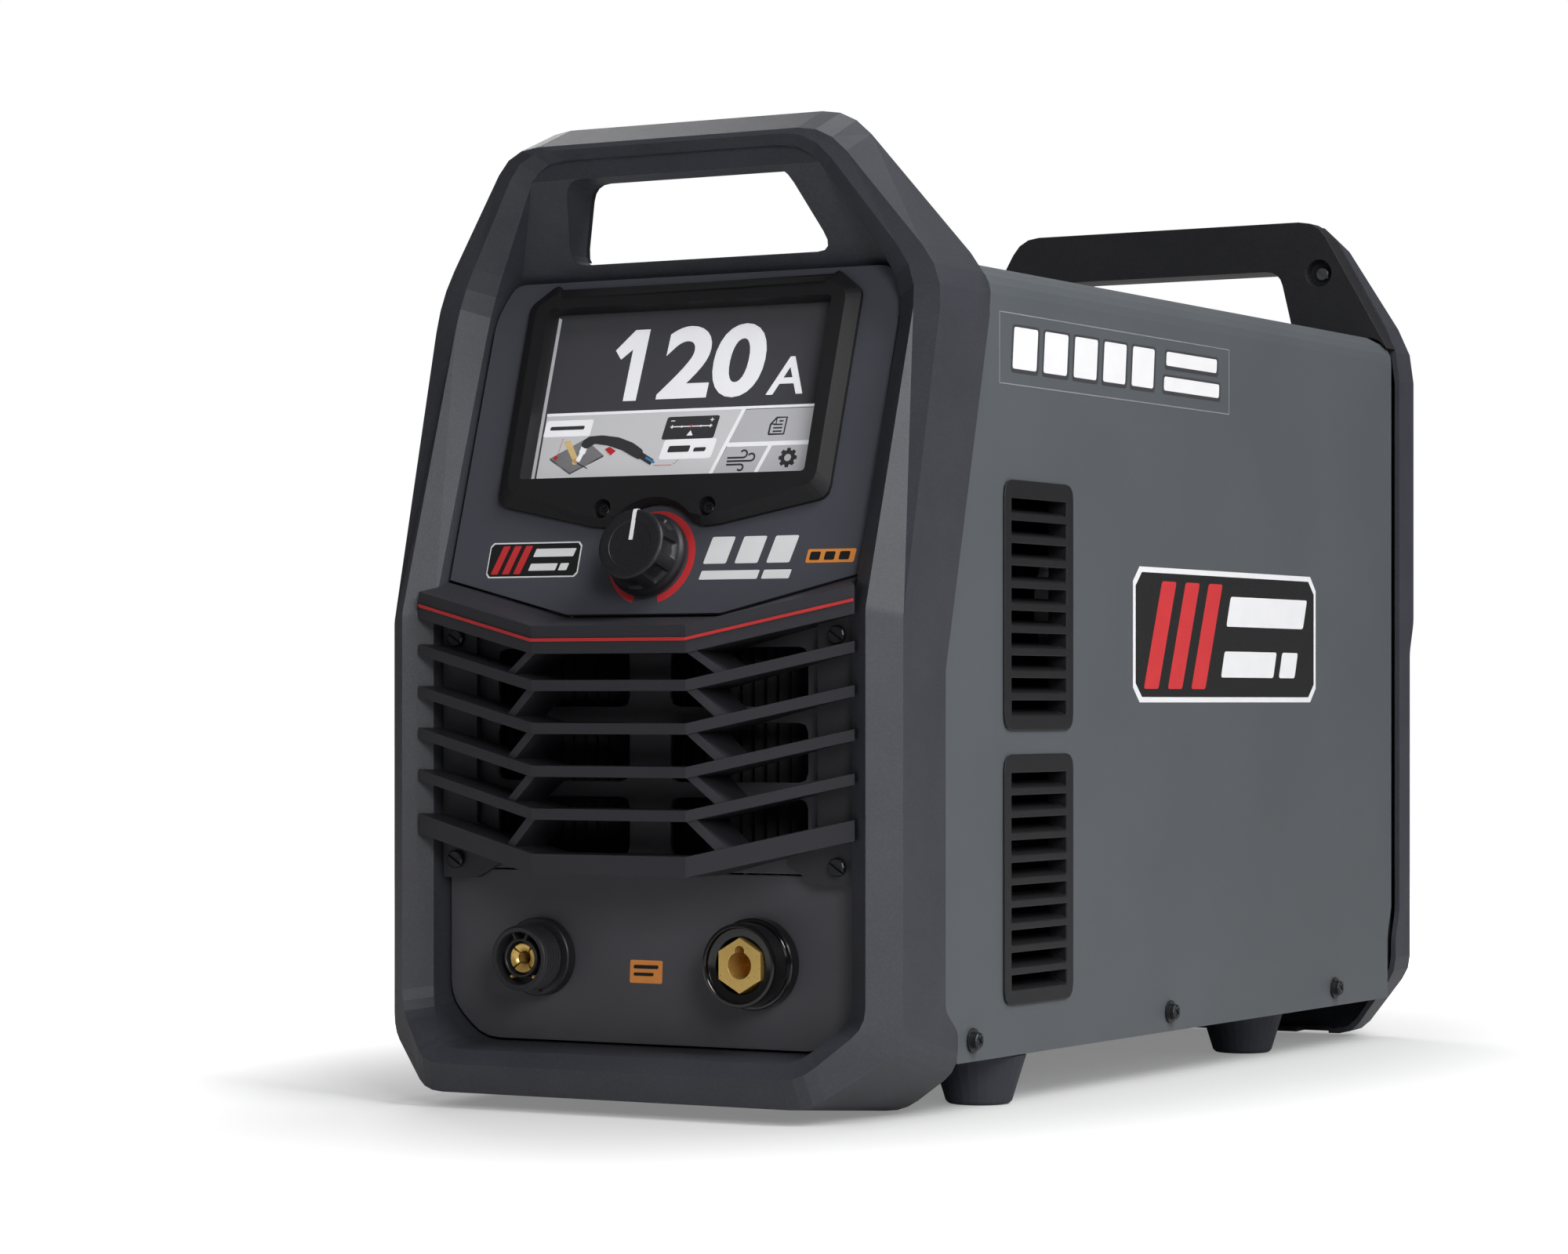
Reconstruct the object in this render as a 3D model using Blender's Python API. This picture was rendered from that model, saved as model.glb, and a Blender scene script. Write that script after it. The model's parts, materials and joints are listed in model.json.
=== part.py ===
"""Plasma cutter power unit, built as an assembly of separate pieces.

Metres, +Z up, front of the unit facing -Y.  The origin is at the middle of the footprint, on the
ground.  Depths are given from the foremost edge of the front bezel and turned into Y by at().
"""
import math

import bmesh
import bpy
from mathutils import Matrix, Vector

# ---------------------------------------------------------------- driving dimensions
DEPTH = 0.6875              # whole unit, front edge to rear edge
GAP = 0.0004                # clearance between touching pieces
SHEET = 0.0015              # steel sheet of case, pan and rear panel
WALL = 0.003                # moulded plastic wall

CASE_HALF_WIDTH = 0.147
CASE_BOTTOM = 0.0255
CASE_TOP = 0.4205
CASE_EDGE_RADIUS = 0.0155
CASE_REAR = 0.6342          # depth where the full-width sheet ends
CASE_LIP_REAR = 0.649       # depth where its stepped-in lip ends

PANEL_TILT = math.radians(17.5)
KNOB_DEPTH = 0.0429         # panel surface on the knob's axis
KNOB_HEIGHT = 0.2736
PANEL_THICK = 0.003
PANEL_HALF_WIDTH = 0.1195
SCREEN_HALF_WIDTH = 0.083
SCREEN_LOW = 0.0415         # along the tilted panel, up from the knob's axis
SCREEN_HIGH = 0.1342
DISPLAY_SCREW = (0.0305, 0.0245)    # across, and up along the panel

LOWER_PANEL_DEPTH = 0.0409  # face of the connector panel
GRILLE_KINK = 0.0445        # half-width of the grille's flat middle
GRILLE_RISE = 0.0185        # how much higher the bars end than they run in the middle
GRILLE_FRONT_MIDDLE = 0.0015
GRILLE_FRONT_END = 0.0225
GRILLE_BACK = 0.0362
SLAT_THICK = 0.0054
SLAT_PITCH = 0.0211
LOWEST_SLAT = 0.1443
SLATS = 4
GRILLE_SCREW_Z = (0.1227, 0.2346)

SOCKET_X = 0.063
SOCKET_Z = 0.0745

VENT_FRONT = 0.1365
VENT_REAR = 0.2135
VENT_BOTTOMS = (0.0507, 0.188)
VENT_HEIGHT = 0.1253
VENT_SLATS = 9

FOOT_PLACES = {"front": (0.1225, 0.1580), "rear": (0.1060, 0.5200)}     # half-spacing and depth
FOOT_HEIGHT = 0.0251
SIDE_SCREW_DEPTHS = (0.1035, 0.3325, 0.5585)
SIDE_SCREW_Z = 0.0360

FAN_X = -0.012
FAN_Z = 0.262
FAN_RADIUS = 0.066
FAN_BLADES = 7

REAR_PANEL_DEPTH = 0.6558
REAR_FRAME_FRONT = 0.6578
REAR_SCREW = (0.1010, 0.4610)       # the rear handle's screws, x and z
REAR_WELL_DEEP = 0.0080
POWER_SWITCH = (0.092, 0.330)       # x and z of the fittings on the rear panel
GLAND = (0.088, 0.085)
AIR_INLET = (-0.088, 0.085)
FLOOR = CASE_BOTTOM + SHEET + GAP   # top of the floor pan

# ---------------------------------------------------------------- colours (linear RGB, roughness, metallic)
FINISHES = {
    "bezel_plastic": ((0.058, 0.060, 0.070), 0.55, 0.0),
    "case_paint": ((0.105, 0.124, 0.128), 0.5, 0.0),
    "panel_plastic": ((0.062, 0.064, 0.078), 0.6, 0.0),
    "dark_panel": ((0.045, 0.045, 0.050), 0.6, 0.0),
    "black_plastic": ((0.012, 0.012, 0.014), 0.5, 0.0),
    "gloss_black": ((0.006, 0.006, 0.007), 0.15, 0.0),
    "rubber": ((0.028, 0.030, 0.042), 0.8, 0.0),
    "red_trim": ((0.55, 0.035, 0.035), 0.4, 0.0),
    "glass": ((0.05, 0.05, 0.055), 0.08, 0.0),
    "brass": ((0.72, 0.47, 0.16), 0.25, 1.0),
    "zinc_steel": ((0.42, 0.43, 0.44), 0.35, 1.0),
    "dark_steel": ((0.09, 0.09, 0.10), 0.35, 1.0),
    "aluminium": ((0.62, 0.63, 0.65), 0.4, 1.0),
    "board_green": ((0.02, 0.11, 0.05), 0.5, 0.0),
    "copper": ((0.6, 0.27, 0.14), 0.35, 1.0),
    "hose_blue": ((0.03, 0.10, 0.35), 0.5, 0.0),
}


def material(name):
    """The named finish as a Principled material, made once."""
    if name in bpy.data.materials:
        return bpy.data.materials[name]
    colour, roughness, metallic = FINISHES[name]
    made = bpy.data.materials.new(name)
    made.use_nodes = True
    shader = made.node_tree.nodes["Principled BSDF"]
    shader.inputs["Base Color"].default_value = (*colour, 1.0)
    shader.inputs["Roughness"].default_value = roughness
    shader.inputs["Metallic"].default_value = metallic
    return made


# ---------------------------------------------------------------- places
def at(x, depth, z):
    """World position of a point given by its depth behind the foremost edge."""
    return Vector((x, depth - DEPTH / 2, z))


TOWARDS_BACK = Matrix.Rotation(math.radians(-90), 4, "X")   # local +Z becomes world +Y
TOWARDS_RIGHT = Matrix.Rotation(math.radians(90), 4, "Y")   # local +Z becomes world +X
UPWARDS = Matrix.Identity(4)
PANEL_ROTATION = Matrix.Rotation(-PANEL_TILT, 4, "X")
PANEL_FRAME = Matrix.Translation(at(0, KNOB_DEPTH, KNOB_HEIGHT)) @ PANEL_ROTATION
INTO_PANEL = Matrix.Rotation(math.radians(-90), 4, "X")     # local +Z becomes the panel's inward normal


def on_panel(x, up, inward):
    """World position of a point on the tilted panel: across, up along it, and in behind its surface."""
    return PANEL_FRAME @ Vector((x, inward, up))


# ---------------------------------------------------------------- mesh helpers
def publish(name, bm, finish, matrix=UPWARDS, hidden=False):
    """Turn a bmesh into a named object with outward faces, smooth where it is round."""
    bmesh.ops.remove_doubles(bm, verts=bm.verts, dist=1e-6)
    bmesh.ops.recalc_face_normals(bm, faces=bm.faces)
    mesh = bpy.data.meshes.new(name)
    bm.to_mesh(mesh)
    bm.free()
    obj = bpy.data.objects.new(name, mesh)
    bpy.context.scene.collection.objects.link(obj)
    obj.matrix_world = matrix
    mesh.materials.append(material(finish))
    mesh.shade_smooth()
    mesh.set_sharp_from_angle(angle=math.radians(30))
    if hidden:
        obj.hide_render = True
        obj.display_type = "WIRE"
    return obj


def add_prism(bm, outline, low, high):
    """Solid between two levels of local Z over an outline of (x, y) points."""
    floor = [bm.verts.new((x, y, low)) for x, y in outline]
    roof = [bm.verts.new((x, y, high)) for x, y in outline]
    bm.faces.new(floor)
    bm.faces.new(roof)
    for i in range(len(outline)):
        j = (i + 1) % len(outline)
        bm.faces.new((floor[i], floor[j], roof[j], roof[i]))


def add_front_prism(bm, outline, front, back):
    """Solid over an outline of (x, z) points, between two depths that may depend on z."""
    near = front if callable(front) else (lambda z: front)
    far = back if callable(back) else (lambda z: back)
    fore = [bm.verts.new(at(x, near(z), z)) for x, z in outline]
    rear = [bm.verts.new(at(x, far(z), z)) for x, z in outline]
    bm.faces.new(fore)
    bm.faces.new(rear)
    for i in range(len(outline)):
        j = (i + 1) % len(outline)
        bm.faces.new((fore[i], fore[j], rear[j], rear[i]))


def add_side_prism(bm, outline, left, right):
    """Solid over an outline of (depth, z) points, between two X positions."""
    port = [bm.verts.new(at(left, d, z)) for d, z in outline]
    starboard = [bm.verts.new(at(right, d, z)) for d, z in outline]
    bm.faces.new(port)
    bm.faces.new(starboard)
    for i in range(len(outline)):
        j = (i + 1) % len(outline)
        bm.faces.new((port[i], port[j], starboard[j], starboard[i]))


def add_box(bm, low, high):
    """Box between two opposite corners."""
    size = Vector(high) - Vector(low)
    centre = (Vector(high) + Vector(low)) / 2
    matrix = Matrix.Translation(centre) @ Matrix.Diagonal((*size, 1.0))
    bmesh.ops.create_cube(bm, size=1.0, matrix=matrix)


def add_turned(bm, profile, segments, matrix=UPWARDS):
    """Solid of revolution about local Z from (radius, height) points; radius 0 closes an end."""
    rings = []
    for radius, height in profile:
        if radius == 0:
            rings.append([bm.verts.new(matrix @ Vector((0, 0, height)))])
            continue
        ring = []
        for i in range(segments):
            angle = 2 * math.pi * i / segments
            spot = Vector((radius * math.cos(angle), radius * math.sin(angle), height))
            ring.append(bm.verts.new(matrix @ spot))
        rings.append(ring)
    closed = profile[0][0] > 0
    pairs = zip(rings, rings[1:] + rings[:1]) if closed else zip(rings, rings[1:])
    for first, second in pairs:
        for i in range(segments):
            j = (i + 1) % segments
            if len(first) == 1:
                bm.faces.new((first[0], second[i], second[j]))
            elif len(second) == 1:
                bm.faces.new((first[i], first[j], second[0]))
            else:
                bm.faces.new((first[i], first[j], second[j], second[i]))


def turned(name, profile, finish, matrix, segments=24, hidden=False):
    """Object made by add_turned, placed by its matrix so that its origin is on its axis."""
    bm = bmesh.new()
    add_turned(bm, profile, segments)
    return publish(name, bm, finish, matrix, hidden)


def front_plate(name, outline, front, back, finish, hidden=False):
    """Object made by add_front_prism."""
    bm = bmesh.new()
    add_front_prism(bm, outline, front, back)
    return publish(name, bm, finish, hidden=hidden)


def combine(target, tool, operation):
    """Boolean of a target with a tool object, which is left out of the finished model."""
    tool.hide_render = True
    tool.display_type = "WIRE"
    modifier = target.modifiers.new(operation.lower(), "BOOLEAN")
    modifier.operation = operation
    modifier.solver = "EXACT"
    modifier.object = tool
    return target


def rounded_outline(corners, steps=3):
    """Outline points from (x, y, radius) corners, each rounded by a short curve."""
    points = []
    for i, (x, y, radius) in enumerate(corners):
        corner = Vector((x, y))
        if radius == 0:
            points.append((x, y))
            continue
        before = Vector(corners[i - 1][:2])
        after = Vector(corners[(i + 1) % len(corners)][:2])
        start = corner + (before - corner).normalized() * radius
        end = corner + (after - corner).normalized() * radius
        for k in range(steps + 1):
            t = k / steps
            spot = start * (1 - t) ** 2 + corner * (2 * t * (1 - t)) + end * t ** 2
            points.append((spot.x, spot.y))
    return points


def mirrored_corners(half):
    """Corners of a symmetric outline from those of its right half."""
    return half + [(-x, y, r) for x, y, r in reversed(half)]


def rounded_loop(half, rounding, steps=3):
    """Closed loop in space from the (x, depth, z) corners of its right half, each rounded off."""
    right = [(at(*corner), r) for corner, r in zip(half, rounding)]
    left = [(Vector((-c.x, c.y, c.z)), r) for c, r in reversed(right)]
    ring = right + left
    points = []
    for i, (corner, radius) in enumerate(ring):
        before = ring[i - 1][0]
        after = ring[(i + 1) % len(ring)][0]
        start = corner + (before - corner).normalized() * radius
        end = corner + (after - corner).normalized() * radius
        for k in range(steps + 1):
            t = k / steps
            points.append(start * (1 - t) ** 2 + corner * (2 * t * (1 - t)) + end * t ** 2)
    return points


def ring_shell(name, loops, finish):
    """Hollow frame whose cross-section runs through the given loops and back to the first."""
    bm = bmesh.new()
    rings = [[bm.verts.new(p) for p in loop] for loop in loops]
    count = len(rings[0])
    for first, second in zip(rings, rings[1:] + rings[:1]):
        for i in range(count):
            j = (i + 1) % count
            bm.faces.new((first[i], first[j], second[j], second[i]))
    bmesh.ops.triangulate(bm, faces=bm.faces)
    return publish(name, bm, finish)


def moved(corners, inward, amount, back):
    """Corners moved along their inward directions by an amount, and back in depth."""
    return [(x + i * amount, d + back, z + k * amount)
            for (x, d, z), (i, k) in zip(corners, inward)]


# ---------------------------------------------------------------- front bezel
# Corners of the right half: bottom, lower side, low step, high step, kink, shoulder, top.
BEZEL_RIDGE = [(0.108, 0.0, 0.022), (0.134, 0.019, 0.0475), (0.134, 0.019, 0.066), (0.134, 0.019, 0.080),
               (0.134, 0.019, 0.247), (0.134, 0.0725, 0.411), (0.0845, 0.0537, 0.481)]
BEZEL_CHAMFER = [(0.102, 0.008, 0.0290), (0.1213, 0.0286, 0.0495), (0.1213, 0.0286, 0.0670),
                 (0.1213, 0.0286, 0.0810), (0.1213, 0.0286, 0.247), (0.1213, 0.0821, 0.4065),
                 (0.0785, 0.0600, 0.4765)]
BEZEL_INNER = [(0.1005, 0.0460, 0.0315), (0.1200, 0.0460, 0.0510), (0.1200, 0.0460, 0.0680),
               (0.1200, 0.0460, 0.0820), (0.1200, 0.0480, 0.247), (0.1200, 0.0990, 0.4050),
               (0.0765, 0.0780, 0.4740)]
BEZEL_CREASE = [(0.110, 0.0050, 0.0075), (0.1476, 0.0316, 0.0350), (0.1476, 0.0316, 0.0540),
                (0.1476, 0.0316, 0.0680), (0.1476, 0.0316, 0.243), (0.1476, 0.0735, 0.411),
                (0.0920, 0.0553, 0.4835)]
BEZEL_REAR = [(0.1178, 0.0870, 0.0010), (0.1476, 0.0870, 0.0225), (0.1476, 0.0880, 0.0410),
              (0.1476, 0.0748, 0.0520), (0.1476, 0.0748, 0.217), (0.1476, 0.1261, 0.411),
              (0.090, 0.0835, 0.495)]
BEZEL_INWARD = [(-0.45, 1.0), (-1.0, 0.45), (-1.0, 0.0), (-1.0, 0.0), (-1.0, 0.0), (-1.0, -0.45),
                (-0.55, -1.0)]
BEZEL_ROUNDING = (0.010, 0.009, 0.004, 0.004, 0.002, 0.018, 0.016)

HANDLE_OPENING = [(0.078, 0.4262, 0.010), (0.0635, 0.4670, 0.009)]
HANDLE_TOP_FACE = 0.0625    # depth of the bar's front face at the top of its opening


def handle_front(z):
    """Depth of the handle's front surface: upright on the bar, then leaning back below it."""
    slope = (0.0895 - HANDLE_TOP_FACE) / (0.467 - 0.426)
    return HANDLE_TOP_FACE + max(0.0, 0.467 - z) * slope


def handle_rear(z):
    """Depth of the moulded handle's rear surface, where its cover lies."""
    return 0.078 + (0.495 - z) * 0.36


def case_front_line():
    """(depth, z) points of the bezel's rear edge on the right side, from the bottom upwards."""
    loop = rounded_loop(BEZEL_REAR, BEZEL_ROUNDING)
    right_side = loop[4:24]
    return [(p.y + DEPTH / 2, p.z) for p in right_side if p.z < CASE_TOP + 0.012]


def loft(name, loops, finish):
    """Solid through a stack of closed loops, capped at both ends, kept as a tool."""
    bm = bmesh.new()
    rings = [[bm.verts.new(p) for p in loop] for loop in loops]
    count = len(rings[0])
    for first, second in zip(rings, rings[1:]):
        for i in range(count):
            j = (i + 1) % count
            bm.faces.new((first[i], first[j], second[j], second[i]))
    bm.faces.new(rings[0])
    bm.faces.new(rings[-1])
    bmesh.ops.triangulate(bm, faces=bm.faces)
    return publish(name, bm, finish, hidden=True)


def wall_core(name, fore, rear, inward, rounding, steps=3):
    """Solid that fills a frame out to the middle of its wall, between and beyond two of its edges."""
    half = WALL / 2
    loops = [moved(fore, inward, half, -0.02), moved(fore, inward, half, 0.0),
             moved(rear, inward, half, 0.0),
             moved(rear, inward, half, 0.02)]
    return loft(name, [rounded_loop(corners, rounding, steps) for corners in loops], "bezel_plastic")


def make_front_bezel():
    """Moulded front frame with the front carrying handle."""
    outer = [BEZEL_INNER, BEZEL_CHAMFER, BEZEL_RIDGE, BEZEL_CREASE, BEZEL_REAR]
    inner = [moved(BEZEL_REAR, BEZEL_INWARD, WALL, 0.0),
             moved(BEZEL_CREASE, BEZEL_INWARD, WALL, WALL),
             moved(BEZEL_CHAMFER, BEZEL_INWARD, -WALL, WALL),
             moved(BEZEL_INNER, BEZEL_INWARD, -WALL, 0.0)]
    loops = [rounded_loop(half, BEZEL_ROUNDING) for half in outer + inner]
    bezel = ring_shell("front_bezel", loops, "bezel_plastic")

    profile = [(handle_front(z), z) for z in (0.415, 0.467, 0.4775)] + [(0.0568, 0.4798), (0.0568, 0.4824)]
    profile += [(handle_rear(z), z) for z in (0.4922, 0.4275)]
    profile += [(0.1150, 0.4262), (0.1188, 0.4215), (0.1188, 0.415)]
    bm = bmesh.new()
    add_side_prism(bm, profile, -0.15, 0.15)
    block = publish("handle_block", bm, "bezel_plastic", hidden=True)
    core = wall_core("handle_trim", BEZEL_CREASE, BEZEL_REAR, BEZEL_INWARD, BEZEL_ROUNDING)
    combine(block, core, "INTERSECT")
    combine(bezel, block, "UNION")
    hole = rounded_outline(mirrored_corners(HANDLE_OPENING), 4)
    combine(bezel, front_plate("handle_hole", hole, 0.03, 0.16, "bezel_plastic", True), "DIFFERENCE")
    return bezel


def make_front_handle_cover():
    """Rear half of the front handle, screwed on from behind."""
    bm = bmesh.new()
    outline = rounded_outline(mirrored_corners([(0.1265, 0.4290, 0.003), (0.0860, 0.4890, 0.014)]))
    add_front_prism(bm, outline, lambda z: handle_rear(z) + GAP, lambda z: handle_rear(z) + 0.0048)
    cover = publish("front_handle_cover", bm, "black_plastic")
    wider = [(x + 0.0008, z, r) for x, z, r in HANDLE_OPENING]
    wider[1] = (wider[1][0], wider[1][1] + 0.0006, wider[1][2])
    hole = rounded_outline(mirrored_corners(wider), 4)
    combine(cover, front_plate("cover_hole", hole, 0.05, 0.16, "black_plastic", True), "DIFFERENCE")
    return cover


# ---------------------------------------------------------------- control panel and display
def add_panel_prism(bm, outline, front, back):
    """Solid over an outline of (x, up) points on the tilted panel, between two inward depths."""
    fore = [bm.verts.new(on_panel(x, w, front)) for x, w in outline]
    rear = [bm.verts.new(on_panel(x, w, back)) for x, w in outline]
    bm.faces.new(fore)
    bm.faces.new(rear)
    for i in range(len(outline)):
        j = (i + 1) % len(outline)
        bm.faces.new((fore[i], fore[j], rear[j], rear[i]))


def panel_plate(name, outline, front, back, finish, hidden=False):
    """Object made by add_panel_prism."""
    bm = bmesh.new()
    add_panel_prism(bm, outline, front, back)
    return publish(name, bm, finish, hidden=hidden)


def rectangle(x, low, high):
    """Symmetric rectangle outline from its half-width, bottom and top."""
    return [(-x, low), (x, low), (x, high), (-x, high)]


def make_control_panel():
    """Tilted fascia that carries the display and the knob."""
    top = 0.1512
    kink_up = -0.0292
    end_up = kink_up + GRILLE_RISE / math.cos(PANEL_TILT)
    half = [(GRILLE_KINK, kink_up, 0.0), (PANEL_HALF_WIDTH - 0.0005, end_up, 0.0),
            (PANEL_HALF_WIDTH - 0.0005, 0.1330, 0.008), (0.1105, top, 0.006)]
    outline = rounded_outline(mirrored_corners(half))
    panel = panel_plate("control_panel", outline, 0.0, PANEL_THICK, "panel_plastic")
    window = rectangle(SCREEN_HALF_WIDTH + 0.0032, SCREEN_LOW - 0.0032, SCREEN_HIGH + 0.0032)
    combine(panel, panel_plate("window_cut", window, -0.02, 0.02, "panel_plastic", True), "DIFFERENCE")
    bore = turned("encoder_cut", [(0, -0.01), (0.0052, -0.01), (0.0052, 0.01), (0, 0.01)],
                  "panel_plastic", PANEL_FRAME @ INTO_PANEL, 16, True)
    combine(panel, bore, "DIFFERENCE")
    for side in (-1, 1):
        combine(panel, display_screw_hole(side), "DIFFERENCE")
    return panel


def display_outline(inset, arc_radius):
    """Outline of the display surround, drawn in by an inset, hollowed round the knob."""
    corner = inset * 0.4
    half = [(0.0345, 0.0160 + inset * 0.6, 0.004), (0.0965 - inset, 0.0290 + inset, 0.006),
            (0.0975 - inset, 0.1377 - corner, 0.004), (0.0815 - corner, 0.1497 - inset, 0.004)]
    right = rounded_outline([(0.0275, 0.0158 + inset * 0.6, 0.0)] + half)
    first = right.index(min(right, key=lambda p: p[0]))
    right = right[first:]
    left = [(-x, w) for x, w in reversed(right)]
    steps = 10
    start = math.atan2(0.0180 + inset * 0.6, 0.0215)
    arc = []
    for k in range(steps + 1):
        angle = math.pi - start - (math.pi - 2 * start) * k / steps
        arc.append((arc_radius * math.cos(angle), arc_radius * math.sin(angle)))
    return right + left + arc


def make_display_bezel():
    """Black surround that stands proud of the fascia, with a collar down to the glass."""
    bm = bmesh.new()
    levels = [(-GAP, 0.0, 0.0278), (-0.0026, 0.0, 0.0278), (-0.0064, 0.0065, 0.0300)]
    rings = []
    for inward, inset, arc_radius in levels:
        rings.append([bm.verts.new(on_panel(x, w, inward)) for x, w in display_outline(inset, arc_radius)])
    for first, second in zip(rings, rings[1:]):
        for i in range(len(first)):
            j = (i + 1) % len(first)
            bm.faces.new((first[i], first[j], second[j], second[i]))
    bm.faces.new(rings[0])
    bm.faces.new(rings[-1])
    bmesh.ops.triangulate(bm, faces=bm.faces)
    surround = publish("display_bezel", bm, "black_plastic")

    collar = rectangle(SCREEN_HALF_WIDTH + 0.0027, SCREEN_LOW - 0.0027, SCREEN_HIGH + 0.0027)
    combine(surround, panel_plate("collar", collar, -0.003, 0.0032, "black_plastic", True), "UNION")
    opening = rounded_outline([(-SCREEN_HALF_WIDTH, SCREEN_LOW, 0.002),
                               (SCREEN_HALF_WIDTH, SCREEN_LOW, 0.002),
                               (SCREEN_HALF_WIDTH, SCREEN_HIGH, 0.002),
                               (-SCREEN_HALF_WIDTH, SCREEN_HIGH, 0.002)], 2)
    combine(surround, panel_plate("screen_cut", opening, -0.02, 0.02, "black_plastic", True), "DIFFERENCE")
    for side in (-1, 1):
        place = display_screw_place(side, 0.0)
        sink = turned("counterbore", [(0, -0.02), (0.0051, -0.02), (0.0051, -0.0022), (0, -0.0022)],
                      "black_plastic", place, 20, True)
        combine(surround, sink, "DIFFERENCE")
        combine(surround, display_screw_hole(side), "DIFFERENCE")
    return surround


def display_screw_place(side, inward):
    """Placement of a display screw, local +Z pointing into the panel."""
    across, up = DISPLAY_SCREW
    return Matrix.Translation(on_panel(side * across, up, inward)) @ PANEL_ROTATION @ INTO_PANEL


def display_screw_hole(side):
    """Cutter for the hole of one display screw."""
    place = display_screw_place(side, 0.0)
    profile = [(0, -0.02), (0.0026, -0.02), (0.0026, 0.02), (0, 0.02)]
    return turned("display_hole", profile, "black_plastic", place, 10, True)


def make_display():
    """Glass, LCD module and its board, stacked behind the surround's collar."""
    margin = 0.0035
    glass = rectangle(SCREEN_HALF_WIDTH + margin, SCREEN_LOW - margin, SCREEN_HIGH + margin)
    panel_plate("display_glass", glass, 0.0036, 0.0052, "glass")
    panel_plate("lcd_module", rectangle(0.0866, 0.0376, 0.1382), 0.0056, 0.0125, "zinc_steel")
    bm = bmesh.new()
    add_panel_prism(bm, rectangle(0.090, 0.030, 0.1410), 0.0150, 0.0166)
    board = publish("display_board", bm, "board_green")
    bm = bmesh.new()
    add_panel_prism(bm, rectangle(0.030, 0.050, 0.075), 0.0160, 0.0240)
    combine(board, publish("board_connector", bm, "board_green", hidden=True), "UNION")


def make_knob():
    """Encoder behind the fascia, its shaft, and the grip knob pressed over it."""
    frame = PANEL_FRAME @ INTO_PANEL
    bm = bmesh.new()
    add_box(bm, (-0.0075, -0.0075, 0.0036), (0.0075, 0.0075, 0.0125))
    body = publish("encoder_body", bm, "dark_steel", frame)
    collar = turned("encoder_collar", [(0, 0.006), (0.0047, 0.006), (0.0047, -0.0018), (0, -0.0018)],
                    "dark_steel", frame, 16, True)
    combine(body, collar, "UNION")
    bore = turned("encoder_bore", [(0, -0.01), (0.0034, -0.01), (0.0034, 0.0105), (0, 0.0105)],
                  "dark_steel", frame, 16, True)
    combine(body, bore, "DIFFERENCE")
    turned("encoder_shaft", [(0, 0.0098), (0.0030, 0.0098), (0.0030, -0.0165), (0, -0.0165)],
           "aluminium", frame, 16)

    segments = 40
    profile = [(0.0215, -0.0028), (0.0215, -0.0062), (0.0200, -0.0082), (0.0186, -0.0205),
               (0.0172, -0.0222)]
    bm = bmesh.new()
    rings = []
    for radius, height in profile:
        ring = []
        for i in range(segments):
            angle = 2 * math.pi * (i + 0.5) / segments
            scallop = 0.0011 if (i % 4 in (0, 1)) and -0.022 < height < -0.008 else 0.0
            reach = radius - scallop
            ring.append(bm.verts.new((reach * math.cos(angle), reach * math.sin(angle), height)))
        rings.append(ring)
    for first, second in zip(rings, rings[1:]):
        for i in range(segments):
            j = (i + 1) % segments
            bm.faces.new((first[i], first[j], second[j], second[i]))
    bm.faces.new(rings[0])
    bm.faces.new(rings[-1])
    bmesh.ops.triangulate(bm, faces=bm.faces)
    knob = publish("knob", bm, "black_plastic", frame)
    socket = turned("knob_socket", [(0, 0.01), (0.0085, 0.01), (0.0085, -0.0075), (0.0034, -0.0075),
                                    (0.0034, -0.0182), (0, -0.0182)], "black_plastic", frame, 16, True)
    combine(knob, socket, "DIFFERENCE")


# ---------------------------------------------------------------- front grille
def grille_front(x):
    """Depth of the bars' front edge at an X position."""
    reach = max(0.0, abs(x) - GRILLE_KINK) / (0.1265 - GRILLE_KINK)
    return GRILLE_FRONT_MIDDLE + (GRILLE_FRONT_END - GRILLE_FRONT_MIDDLE) * reach


def grille_rise(x):
    """How much higher a bar lies at an X position than in its middle."""
    return GRILLE_RISE * max(0.0, abs(x) - GRILLE_KINK) / (0.1265 - GRILLE_KINK)


def grille_bar(name, low, high, back_low, back_high, back, inset=0.0, finish="panel_plastic"):
    """One bar: flat in the middle, swept back and up at both ends, which follow the bezel's wall."""
    bm = bmesh.new()
    chamfer_depth = 0.0290
    ends = {"front": 0.1262, "middle": 0.1206, "back": 0.1194}
    rings = []
    for side, place in ((-1, "end"), (-1, "kink"), (1, "kink"), (1, "end")):
        x_of = ends if place == "end" else {key: GRILLE_KINK for key in ends}
        front_x, middle_x, back_x = (side * x_of[key] for key in ("front", "middle", "back"))
        front = grille_front(front_x) + inset
        share = (chamfer_depth - front) / (back - front)
        mid_low = low + (back_low - low) * share
        mid_high = high + (back_high - high) * share
        spots = [(front_x, front, low), (front_x, front, high), (middle_x, chamfer_depth, mid_high),
                 (back_x, back, back_high), (back_x, back, back_low), (middle_x, chamfer_depth, mid_low)]
        rise = grille_rise(front_x)
        rings.append([bm.verts.new(at(x, d, z + rise)) for x, d, z in spots])
    count = len(rings[0])
    for first, second in zip(rings, rings[1:]):
        for i in range(count):
            j = (i + 1) % count
            bm.faces.new((first[i], first[j], second[j], second[i]))
    bm.faces.new(rings[0])
    bm.faces.new(rings[-1])
    bmesh.ops.triangulate(bm, faces=bm.faces)
    return publish(name, bm, finish, hidden=True)


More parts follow.
